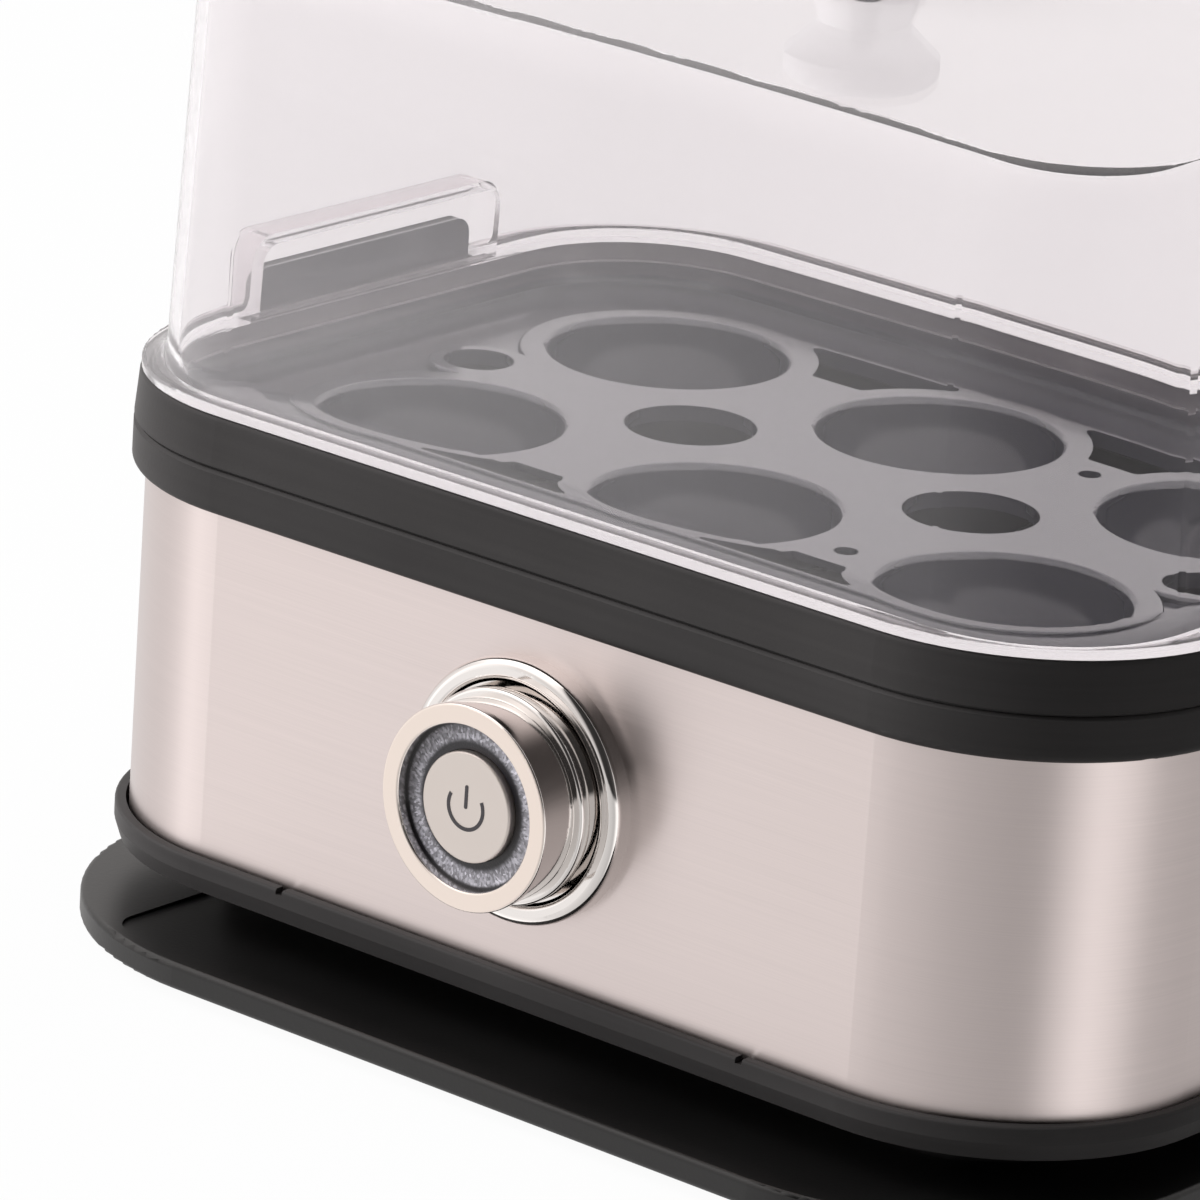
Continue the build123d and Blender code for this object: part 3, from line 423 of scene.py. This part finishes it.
@dataclass(frozen=True)
class TrayPlastic(MouldedPlastic):
    """Moulded plastic that is grained on the outer band, and polished and lacquered inside the rim.

    The cups have less lacquer than the deck, and the walls above the deck get a paler colour that paints
    light on them.
    """

    inside: Colour = (0.054, 0.053, 0.070)
    painted_light_wall: Colour = (0.115, 0.109, 0.126)
    polished: float = 0.16
    polish_waves: Waves = (60.0, 60.0, 60.0)
    polish_change: Span = (-0.02, 0.03)
    lacquer: float = 1.0
    lacquer_in_cups: float = 0.4
    lacquer_roughness: float = 0.12
    lacquer_refraction: float = 2.0
    deck_foot: float = 0.0829
    deck_top: float = 0.0846
    half_length: float = 0.0970
    half_width: float = 0.0663
    corner: float = 0.033
    change: float = 0.0006

    def shade(self, sheet: NodeSheet, surface: bpy.types.Node) -> None:
        """Change from grain to polish where the rim turns inwards.

        Args:
            sheet: Nodes of the material.
            surface: Its Principled shader.
        """
        super().shade(sheet, surface)
        outside = self.outside(sheet)
        height = sheet.axes()["Z"]
        # Painted light: the walls and tabs above the deck get a paler colour than the deck and cups.
        painted_light_above_deck = sheet.ramp(height, (self.deck_top - self.change, self.deck_top))
        inside_with_painted_light_wall = sheet.tone(painted_light_above_deck, self.inside, self.painted_light_wall)
        outer = surface.inputs["Base Color"].links[0].from_socket
        sheet.join(sheet.tone(outside, inside_with_painted_light_wall, outer), surface.inputs["Base Color"])
        rough = sheet.spread(outside, self.polished, self.roughness)
        cloud = sheet.spread(sheet.noise(self.polish_waves, Detail.FINE), *self.polish_change)
        sheet.join(sheet.math("ADD", rough, cloud), surface.inputs["Roughness"])
        grain = sheet.math("MULTIPLY", sheet.noise(self.grain_waves, Detail.FINE), outside)
        sheet.join(sheet.bump(grain, self.grain_strength, self.grain_depth), surface.inputs["Normal"])
        cup_edge = (self.deck_foot - self.change, self.deck_foot)
        coat = sheet.ramp(height, cup_edge, (self.lacquer_in_cups, self.lacquer))
        coat = sheet.math("MULTIPLY", coat, sheet.spread(outside, 1.0, 0.0))
        sheet.join(coat, surface.inputs["Coat Weight"])
        surface.inputs["Coat Roughness"].default_value = self.lacquer_roughness
        surface.inputs["Coat IOR"].default_value = self.lacquer_refraction

    def outside(self, sheet: NodeSheet) -> bpy.types.NodeSocket:
        """Tell the outer band from the inside by the distance past the rim's rounded outline.

        Args:
            sheet: Nodes of the material.

        Returns:
            0 inside the rim and 1 on the outer band.
        """
        place = sheet.add("TexCoord")
        folded = sheet.add("VectorMath", operation="ABSOLUTE")
        sheet.join(place.outputs[Space.PIECE.value], folded.inputs[0])
        past = sheet.add("VectorMath", operation="SUBTRACT")
        past.inputs[1].default_value = (self.half_length - self.corner, self.half_width - self.corner, 1.0)
        sheet.join(folded.outputs["Vector"], past.inputs[0])
        kept = sheet.add("VectorMath", operation="MAXIMUM")
        sheet.join(past.outputs["Vector"], kept.inputs[0])
        reach = sheet.add("VectorMath", operation="LENGTH")
        sheet.join(kept.outputs["Vector"], reach.inputs[0])
        return sheet.ramp(reach.outputs["Value"], (self.corner - self.change, self.corner + self.change))


@dataclass(frozen=True)
class BrushedSteel(Finish):
    """Stainless sheet brushed along its length, so that highlights stretch upright."""

    fine_waves: Waves = (14.0, 14.0, 5200.0)
    fine_share: float = 0.65
    broad_waves: Waves = (30.0, 30.0, 900.0)
    darkest: float = 0.9
    lightest: float = 1.08
    duller: float = 0.08
    shinier: float = 0.06
    line_depth: float = 0.00003
    line_strength: float = 0.22
    stretch: float = 0.75
    stretch_turn: float = 0.25

    def shade(self, sheet: NodeSheet, surface: bpy.types.Node) -> None:
        """Add the brush lines in tone, gloss and relief.

        Args:
            sheet: Nodes of the material.
            surface: Its Principled shader.
        """
        fine = sheet.noise(self.fine_waves, Detail.FINE)
        lines = sheet.weigh(fine, sheet.noise(self.broad_waves), self.fine_share)
        darker, lighter = self.scaled(self.darkest), self.scaled(self.lightest)
        sheet.join(sheet.tone(lines, darker, lighter), surface.inputs["Base Color"])
        gloss = sheet.spread(lines, self.roughness - self.shinier, self.roughness + self.duller)
        sheet.join(gloss, surface.inputs["Roughness"])
        sheet.join(sheet.bump(lines, self.line_strength, self.line_depth), surface.inputs["Normal"])
        grain = sheet.add("Tangent", direction_type="RADIAL", axis="Z")
        sheet.join(grain.outputs["Tangent"], surface.inputs["Tangent"])
        surface.inputs["Metallic"].default_value = 1.0
        surface.inputs["Anisotropic"].default_value = self.stretch
        surface.inputs["Anisotropic Rotation"].default_value = self.stretch_turn


@dataclass(frozen=True)
class ClearPlastic(Finish):
    """Clear moulded plastic with a slight tint and faint flow ripples."""

    clearness: float = 0.972
    painted_veil_clearness_left: float = 0.87
    half_length: float = 0.095
    refraction: float = 1.17
    ripple_waves: Waves = (22.0, 22.0, 14.0)
    ripple_depth: float = 0.0006
    ripple_strength: float = 0.015

    def shade(self, sheet: NodeSheet, surface: bpy.types.Node) -> None:
        """Let light through, with haze raised towards the left as a painted veil of reflected light, and
        ripple the surface a little.

        Args:
            sheet: Nodes of the material.
            surface: Its Principled shader.
        """
        # Painted veil: the lid lets less light through towards its left end, so its pale colour shows there
        # like reflected light.
        length = (-self.half_length, self.half_length)
        clear = sheet.ramp(sheet.axes()["X"], length, (self.painted_veil_clearness_left, self.clearness))
        sheet.join(clear, surface.inputs["Transmission Weight"])
        surface.inputs["IOR"].default_value = self.refraction
        ripple = sheet.noise(self.ripple_waves, Detail.SMOOTH)
        sheet.join(sheet.bump(ripple, self.ripple_strength, self.ripple_depth), surface.inputs["Normal"])


@dataclass(frozen=True)
class Metal(Finish):
    """Plain metal with fine handling marks."""

    marks: float = 0.03
    mark_waves: Waves = (220.0, 220.0, 220.0)
    shiniest: float = 0.01

    def shade(self, sheet: NodeSheet, surface: bpy.types.Node) -> None:
        """Add a soft change of gloss.

        Args:
            sheet: Nodes of the material.
            surface: Its Principled shader.
        """
        surface.inputs["Metallic"].default_value = 1.0
        cloud = sheet.noise(self.mark_waves, Detail.DUSTY)
        low = max(self.shiniest, self.roughness - self.marks)
        sheet.join(sheet.spread(cloud, low, self.roughness + self.marks), surface.inputs["Roughness"])


@dataclass(frozen=True)
class ChromeWithSatinFace(Finish):
    """Polished chrome whose front face, past a plane, is satin."""

    face_colour: Colour = (0.9, 0.8, 0.73)
    face_roughness: float = 0.42
    face_at: float = 0.0
    face_soft: float = 0.0003

    def shade(self, sheet: NodeSheet, surface: bpy.types.Node) -> None:
        """Change from chrome to satin where the surface turns to the front.

        Args:
            sheet: Nodes of the material.
            surface: Its Principled shader.
        """
        surface.inputs["Metallic"].default_value = 1.0
        face = sheet.ramp(sheet.axes()["Y"], (self.face_at + self.face_soft, self.face_at))
        sheet.join(sheet.tone(face, self.colour, self.face_colour), surface.inputs["Base Color"])
        sheet.join(sheet.spread(face, self.roughness, self.face_roughness), surface.inputs["Roughness"])


@dataclass(frozen=True)
class SparklingRing(Finish):
    """Smoky light guide with a facetted, glittering back."""

    centre: Vector = field(default_factory=Vector)
    painted_gap_shade: Colour = (0.012, 0.011, 0.014)
    inner_edge: Span = (0.0095, 0.0105)
    outer_edge: Span = (0.0126, 0.0120)
    spokes: float = 220.0
    rows_per_metre: float = 2200.0
    contrast: float = 2.2
    darkest: float = 0.45
    lightest: float = 2.1
    facet_depth: float = 0.0002
    facet_strength: float = 0.4

    def shade(self, sheet: NodeSheet, surface: bpy.types.Node) -> None:
        """Lay glitter between two edges of painted shade, where the ring meets the cap and the barrel's face.

        Args:
            sheet: Nodes of the material.
            surface: Its Principled shader.
        """
        radius, turn = sheet.polar_about(self.centre)
        spot = sheet.add("CombineXYZ")
        sheet.join(sheet.math("MULTIPLY", turn, self.spokes), spot.inputs["X"])
        sheet.join(sheet.math("MULTIPLY", radius, self.rows_per_metre), spot.inputs["Y"])
        cells = sheet.add("TexVoronoi", voronoi_dimensions="2D")
        cells.inputs["Scale"].default_value = 1.0
        sheet.join(spot.outputs["Vector"], cells.inputs["Vector"])
        glint = sheet.add("RGBToBW")
        sheet.join(cells.outputs["Color"], glint.inputs["Color"])
        speck = sheet.math("POWER", glint.outputs["Val"], self.contrast)
        glitter = sheet.tone(speck, self.scaled(self.darkest), self.scaled(self.lightest))
        # Painted shade: outside the glitter band both edges of the ring get a dark colour, where it meets the
        # cap and the barrel's face.
        rise = sheet.ramp(radius, self.inner_edge, slope=Slope.SOFT)
        fall = sheet.ramp(radius, self.outer_edge, slope=Slope.SOFT)
        band = sheet.math("MULTIPLY", rise, fall)
        sheet.join(sheet.tone(band, self.painted_gap_shade, glitter), surface.inputs["Base Color"])
        facets = sheet.bump(glint.outputs["Val"], self.facet_strength, self.facet_depth)
        sheet.join(facets, surface.inputs["Normal"])


@dataclass(frozen=True)
class SoftRubber(Finish):
    """Matt rubber or silicone."""

    dust_waves: Waves = (420.0, 420.0, 420.0)
    dust_depth: float = 0.00005
    dust_strength: float = 0.3
    lightest: float = 1.5
    lift: float = 0.006

    def shade(self, sheet: NodeSheet, surface: bpy.types.Node) -> None:
        """Add a dusty change of tone.

        Args:
            sheet: Nodes of the material.
            surface: Its Principled shader.
        """
        dust = sheet.noise(self.dust_waves, Detail.DUSTY)
        lighter = self.scaled(self.lightest, self.lift)
        sheet.join(sheet.tone(dust, self.colour, lighter), surface.inputs["Base Color"])
        sheet.join(sheet.bump(dust, self.dust_strength, self.dust_depth), surface.inputs["Normal"])


@dataclass
class PhotoCamera:
    """Camera solved from the photograph, in the cooker's own frame.

    Angles are in degrees, lengths in metres, and the sensor's width is in millimetres.
    """

    azimuth: float = 39.11
    elevation: float = 18.32
    roll: float = 3.90
    distance: float = 1.29782
    shift_right: float = -0.03523
    shift_up: float = -0.02024
    pivot_height: float = 0.0842
    focal_pixels: float = 8481.93
    frame_pixels: float = 1200.0
    sensor: float = 36.0
    nearest: float = 0.01
    farthest: float = 50.0

    def build(self) -> None:
        """Make the camera and hand it to the scene."""
        turn, rise, roll = (math.radians(x) for x in (self.azimuth, self.elevation, self.roll))
        back = Vector((math.sin(turn) * math.cos(rise), -math.cos(turn) * math.cos(rise), math.sin(rise)))
        level = Vector((math.cos(turn), math.sin(turn), 0.0))
        upright = back.cross(level)
        right = level * math.cos(roll) + upright * math.sin(roll)
        up = upright * math.cos(roll) - level * math.sin(roll)
        place = back * self.distance + right * self.shift_right + up * self.shift_up
        place.z += self.pivot_height
        data = bpy.data.cameras.new("photo_camera")
        data.sensor_width = self.sensor
        data.lens = self.sensor * self.focal_pixels / self.frame_pixels
        data.clip_start = self.nearest
        data.clip_end = self.farthest
        camera = bpy.data.objects.new("photo_camera", data)
        turned = Matrix((right, up, back)).transposed().to_4x4()
        camera.matrix_world = Matrix.Translation(place) @ turned
        bpy.context.scene.collection.objects.link(camera)
        bpy.context.scene.camera = camera
        LOG.info("%s is set", camera.name)


@dataclass(frozen=True)
class Softbox:
    """A soft lamp that lights the cooker and is not mirrored in it."""

    name: str
    place: Vector
    width: float
    height: float
    watts: float
    aim_height: float = 0.08

    def build(self) -> None:
        """Make the lamp and turn it to the cooker."""
        data = bpy.data.lights.new(self.name, "AREA")
        data.shape = "RECTANGLE"
        data.size = self.width
        data.size_y = self.height
        data.energy = self.watts
        lamp = bpy.data.objects.new(self.name, data)
        lamp.location = self.place
        aim = Vector((0.0, 0.0, self.aim_height)) - self.place
        lamp.rotation_euler = aim.to_track_quat("-Z", "Y").to_euler()
        lamp.visible_glossy = False
        lamp.visible_transmission = False
        bpy.context.scene.collection.objects.link(lamp)
        LOG.info("%s is lit", lamp.name)


@dataclass
class Studio:
    """Pale floor, dim surround, soft lamps and the room that shiny pieces mirror.

    The room's stops are degrees from the front, positive to the right, each with a tone. The heights
    at which one row of stops takes over from another are those of a direction of length 1.
    """

    floor_size: float = 6.0
    floor_white: float = 0.955
    floor_paint: Colour = (0.5, 0.5, 0.5)
    surround: float = 0.08
    surround_tint: Colour = (1.0, 0.985, 0.975)
    room_tint: Colour = (1.0, 0.98, 0.97)
    room: Stops = (
        (-180, 0.7), (-140, 0.85), (-110, 0.88), (-80, 0.88), (-66, 1.02), (-55, 1.42), (-46, 1.2),
        (-38, 0.95), (-32, 0.86), (-24, 0.79), (-8, 0.73), (20, 0.68), (42, 0.60), (54, 0.62), (65, 0.95),
        (80, 1.36), (95, 1.05), (112, 0.66), (138, 0.56), (180, 0.7),
    )
    ceiling: Stops = (
        (-180, 0.9), (-100, 1.6), (-62, 2.0), (-30, 1.6), (0, 0.8), (60, 0.5), (120, 0.8), (180, 0.9),
    )
    ceiling_heights: Span = (0.2, 0.75)
    unlit: Stops = ((-180, 1.0), (-5, 1.0), (15, 0.06), (80, 0.06), (95, 1.0), (180, 1.0))
    unlit_heights: Span = (-0.06, 0.04)
    lamps: tuple[Softbox, ...] = (
        Softbox("left_softbox", Vector((-1.7, -1.1, 1.3)), 2.0, 2.0, 150.0),
        Softbox("right_softbox", Vector((1.5, 1.3, 0.9)), 0.6, 1.6, 8.0),
        Softbox("top_softbox", Vector((0.1, 0.4, 2.0)), 1.6, 1.2, 14.0),
    )

    def build(self) -> None:
        """Set the whole stage."""
        self.make_world()
        self.make_floor()
        for lamp in self.lamps:
            lamp.build()

    def make_world(self) -> None:
        """Make a surround that is white where it is seen, a room where it is mirrored, and dim elsewhere."""
        world = bpy.data.worlds.new("studio")
        bpy.context.scene.world = world
        world.use_nodes = True
        sheet = NodeSheet(world.node_tree)
        white = sheet.add("Background")
        sheet.feed(WHITE, white.inputs["Color"])
        dim = sheet.add("Background")
        sheet.feed(self.surround_tint, dim.inputs["Color"])
        dim.inputs["Strength"].default_value = self.surround
        room = sheet.add("Background")
        sheet.join(self.room_tone(sheet), room.inputs["Color"])
        ray = sheet.add("LightPath")
        unseen = sheet.choose(
            ray.outputs["Is Glossy Ray"], dim.outputs["Background"], room.outputs["Background"]
        )
        end = sheet.add("OutputWorld")
        sheet.join(sheet.choose(sheet.seen(ray), unseen, white.outputs["Background"]), end.inputs["Surface"])

    def room_tone(self, sheet: NodeSheet) -> bpy.types.NodeSocket:
        """Tone of the room by direction: walls, a ceiling, and an unlit part above the horizon.

        Args:
            sheet: The world's nodes.

        Returns:
            The tone.
        """
        parts = sheet.axes(Space.SKY)
        ahead = sheet.math("MULTIPLY", parts["Y"], -1.0)
        bearing = sheet.math("ARCTAN2", parts["X"], ahead)
        share = sheet.math("ADD", sheet.math("DIVIDE", bearing, math.tau), 0.5)
        walls = self.compass(sheet, share, self.room)
        ceiling = self.compass(sheet, share, self.ceiling)
        unlit = self.compass(sheet, share, self.unlit)
        overhead = sheet.ramp(parts["Z"], self.ceiling_heights, slope=Slope.SOFT)
        above_horizon = sheet.ramp(parts["Z"], self.unlit_heights, slope=Slope.SOFT)
        return sheet.tone(above_horizon, sheet.tone(overhead, walls, ceiling), unlit, Blend.MULTIPLY)

    def compass(self, sheet: NodeSheet, share: bpy.types.NodeSocket, stops: Stops) -> bpy.types.NodeSocket:
        """Read a tone from stops round the compass.

        Args:
            sheet: The world's nodes.
            share: Bearing as a share of a full turn, with the front at one half.
            stops: Degrees from the front, positive to the right, each with its tone.

        Returns:
            The tone at the bearing.
        """
        ramp = sheet.add("ValToRGB")
        elements = ramp.color_ramp.elements
        while len(elements) < len(stops):
            elements.new(0.5)
        for element, (degrees, tone) in zip(elements, stops):
            element.position = degrees / FULL_TURN + 0.5
            element.color = (*(tone * tint for tint in self.room_tint), 1.0)
        sheet.join(share, ramp.inputs["Fac"])
        return ramp.outputs["Color"]

    def make_floor(self) -> None:
        """Make the floor: white where it is seen, with a faint shadow."""
        form = bmesh.new()
        bmesh.ops.create_grid(form, x_segments=1, y_segments=1, size=self.floor_size / 2)
        mesh = bpy.data.meshes.new("floor")
        form.to_mesh(mesh)
        form.free()
        floor = bpy.data.objects.new("floor", mesh)
        bpy.context.scene.collection.objects.link(floor)
        material = bpy.data.materials.new("floor_white")
        material.use_nodes = True
        sheet = NodeSheet(material.node_tree)
        paint = sheet.add("BsdfDiffuse")
        sheet.feed(self.floor_paint, paint.inputs["Color"])
        glow = sheet.add("Emission")
        sheet.feed(WHITE, glow.inputs["Color"])
        share = sheet.math("MULTIPLY", sheet.seen(sheet.add("LightPath")), self.floor_white)
        whole = sheet.choose(share, paint.outputs["BSDF"], glow.outputs["Emission"])
        end = sheet.add("OutputMaterial")
        sheet.join(whole, end.inputs["Surface"])
        mesh.materials.append(material)
        floor.visible_glossy = False
        LOG.info("%s is laid", floor.name)


@dataclass
class PowerSign:
    """Generic power sign on the button's cap: a broken ring and a bar."""

    ring_radius: float = 3.35 * MM
    stroke: float = 0.6 * MM
    gap_from: float = 28.0
    bar_low: float = -0.2 * MM
    bar_high: float = 3.5 * MM
    relief: float = 0.06 * MM
    steps: int = 48
    end_rounding: float = 0.27 * MM
    end_segments: int = 5
    merge_distance: float = 0.003 * MM
    same_place: float = 1e-9

    def build(self, face_centre: Vector, finish: bpy.types.Material) -> None:
        """Make the sign on the cap's face, riding on the button.

        Args:
            face_centre: Middle of the cap's front face.
            finish: Material of the sign.
        """
        form = bmesh.new()
        self.add_ring(form)
        self.add_bar(form)
        bmesh.ops.remove_doubles(form, verts=form.verts, dist=self.merge_distance)
        bmesh.ops.recalc_face_normals(form, faces=form.faces)
        bmesh.ops.translate(form, verts=form.verts, vec=face_centre)
        mesh = bpy.data.meshes.new("power_sign")
        form.to_mesh(mesh)
        form.free()
        mesh.materials.append(finish)
        sign = bpy.data.objects.new("power_sign", mesh)
        bpy.context.scene.collection.objects.link(sign)
        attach(sign, "button")
        LOG.info("%s is on the button", sign.name)

    def add_ring(self, form: bmesh.types.BMesh) -> None:
        """Spin the broken ring from a small upright section.

        Args:
            form: The sign's mesh.
        """
        start = math.radians(self.gap_from)
        sweep = math.pi + 2 * start
        near = self.ring_radius - self.stroke / 2
        far = self.ring_radius + self.stroke / 2
        corners = [(near, 0.0), (far, 0.0), (far, -self.relief), (near, -self.relief)]
        section = form.faces.new([form.verts.new((r, y, 0.0)) for r, y in corners])
        bmesh.ops.rotate(form, verts=section.verts, matrix=Matrix.Rotation(-start, 3, "Y"))
        cap = bmesh.ops.duplicate(form, geom=[section])
        far_end = [g for g in cap["geom"] if isinstance(g, bmesh.types.BMFace)][0]
        bmesh.ops.rotate(form, verts=far_end.verts, matrix=Matrix.Rotation(sweep, 3, "Y"))
        bmesh.ops.spin(
            form, geom=list(section.edges), axis=(0, 1, 0), cent=(0, 0, 0), angle=sweep, steps=self.steps
        )

    def add_bar(self, form: bmesh.types.BMesh) -> None:
        """Add the bar as a thin block with rounded ends.

        Args:
            form: The sign's mesh.
        """
        made = bmesh.ops.create_cube(form, size=1.0)
        tall = self.bar_high - self.bar_low
        bmesh.ops.scale(form, verts=made["verts"], vec=(self.stroke, self.relief, tall))
        middle = Vector((0.0, -self.relief / 2, (self.bar_high + self.bar_low) / 2))
        bmesh.ops.translate(form, verts=made["verts"], vec=middle)
        corners = [
            edge
            for edge in form.edges
            if all(vert in made["verts"] for vert in edge.verts)
            and abs(edge.verts[0].co.x - edge.verts[1].co.x) < self.same_place
            and abs(edge.verts[0].co.z - edge.verts[1].co.z) < self.same_place
        ]
        bmesh.ops.bevel(
            form,
            geom=corners,
            offset=self.end_rounding,
            affect="EDGES",
            segments=self.end_segments,
            profile=0.5,
            material=-1,
        )


class EggCooker:
    """The cooker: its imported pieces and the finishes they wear."""

    black: Colour = (0.0285, 0.0268, 0.0268)
    chrome: Colour = (0.84, 0.81, 0.79)

    def __init__(self, frame: dict) -> None:
        """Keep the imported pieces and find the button's front.
        """
        self.nodes: dict[str, bpy.types.Object] = frame["nodes"]
        low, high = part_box("button_cap")
        self.cap_centre = Vector(((low.x + high.x) / 2, low.y, (low.z + high.z) / 2))
        barrel_low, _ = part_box("button_barrel")
        self.button_front = barrel_low.y

    def finishes(self) -> list[tuple[Finish, tuple[str, ...]]]:
        """Pair each finish with the pieces that wear it.

        Returns:
            Finishes and the names of their pieces.
        """
        return [
            (
                MouldedPlastic("black_plastic", self.black, 0.42, specular=0.07),
                ("bottom_cover", "collar", "power_switch", "plinth"),
            ),
            (MouldedPlastic("plate_plastic", (0.0040, 0.0038, 0.0038), 0.36, specular=0.45), ("base_plate",)),
            (TrayPlastic("tray_plastic", self.black, 0.42, specular=0.07), ("egg_tray",)),
            (BrushedSteel("brushed_steel", (0.72, 0.64, 0.625), 0.30), ("steel_sleeve",)),
            (ClearPlastic("clear_lid", (0.955, 0.925, 0.935), 0.0), ("lid_shell",)),
            (
                ClearPlastic(
                    "opal_knob", (0.92, 0.905, 0.91), 0.4, clearness=0.55, painted_veil_clearness_left=0.55, refraction=1.2
                ),
                ("lid_knob",),
            ),
            (Metal("chrome", self.chrome, 0.07), ("button_bezel",)),
            (
                ChromeWithSatinFace("chrome_and_satin", self.chrome, 0.07, face_at=self.button_front),
                ("button_barrel",),
            ),
            (Metal("satin_metal", (0.72, 0.66, 0.62), 0.45), ("button_cap",)),
            (SparklingRing("smoky_ring", (0.30, 0.29, 0.32), 0.3, centre=self.cap_centre), ("light_ring",)),
            (SoftRubber("rubber", (0.022, 0.022, 0.022), 0.8), ("rubber_feet", "cord_gland")),
            (SoftRubber("silicone", (0.6, 0.59, 0.58), 0.6), ("pan_seal", "knob_washer")),
            (Metal("coated_pan", (0.035, 0.035, 0.038), 0.4), ("heating_pan",)),
            (
                Metal("bare_metal", (0.66, 0.66, 0.67), 0.35),
                ("heating_element", "thermostat", "thermal_fuse", "bezel_nut"),
            ),
            (
                Metal("plated_steel", (0.58, 0.58, 0.59), 0.25),
                (
                    "base_screws",
                    "body_screws",
                    "thermostat_bracket",
                    "bracket_nuts",
                    "switch_bracket",
                    "knob_screw",
                ),
            ),
            (
                MouldedPlastic("white_plastic", (0.74, 0.73, 0.70), 0.4),
                ("terminal_block", "button_plunger"),
            ),
            (MouldedPlastic("board_green", (0.02, 0.12, 0.045), 0.3), ("indicator_board",)),
        ]

    def dress(self) -> None:
        """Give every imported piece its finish."""
        for finish, names in self.finishes():
            material = finish.build()
            for name in names:
                slots = self.nodes[name].data.materials
                slots.clear()
                slots.append(material)
                LOG.info("%s wears %s", name, finish.name)

    def add_sign(self) -> None:
        """Print the power sign on the button's cap."""
        ink = MouldedPlastic("sign_ink", (0.022, 0.019, 0.022), 0.35)
        PowerSign().build(self.cap_centre, ink.build())


def main() -> None:
    """Build the whole scene in order."""
    logging.basicConfig(level=logging.INFO, format="%(name)s: %(message)s")
    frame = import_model()
    bpy.context.scene.view_settings.view_transform = "Standard"
    PhotoCamera().build()
    Studio().build()
    cooker = EggCooker(frame)
    cooker.dress()
    cooker.add_sign()


if __name__ == "__main__":
    main()
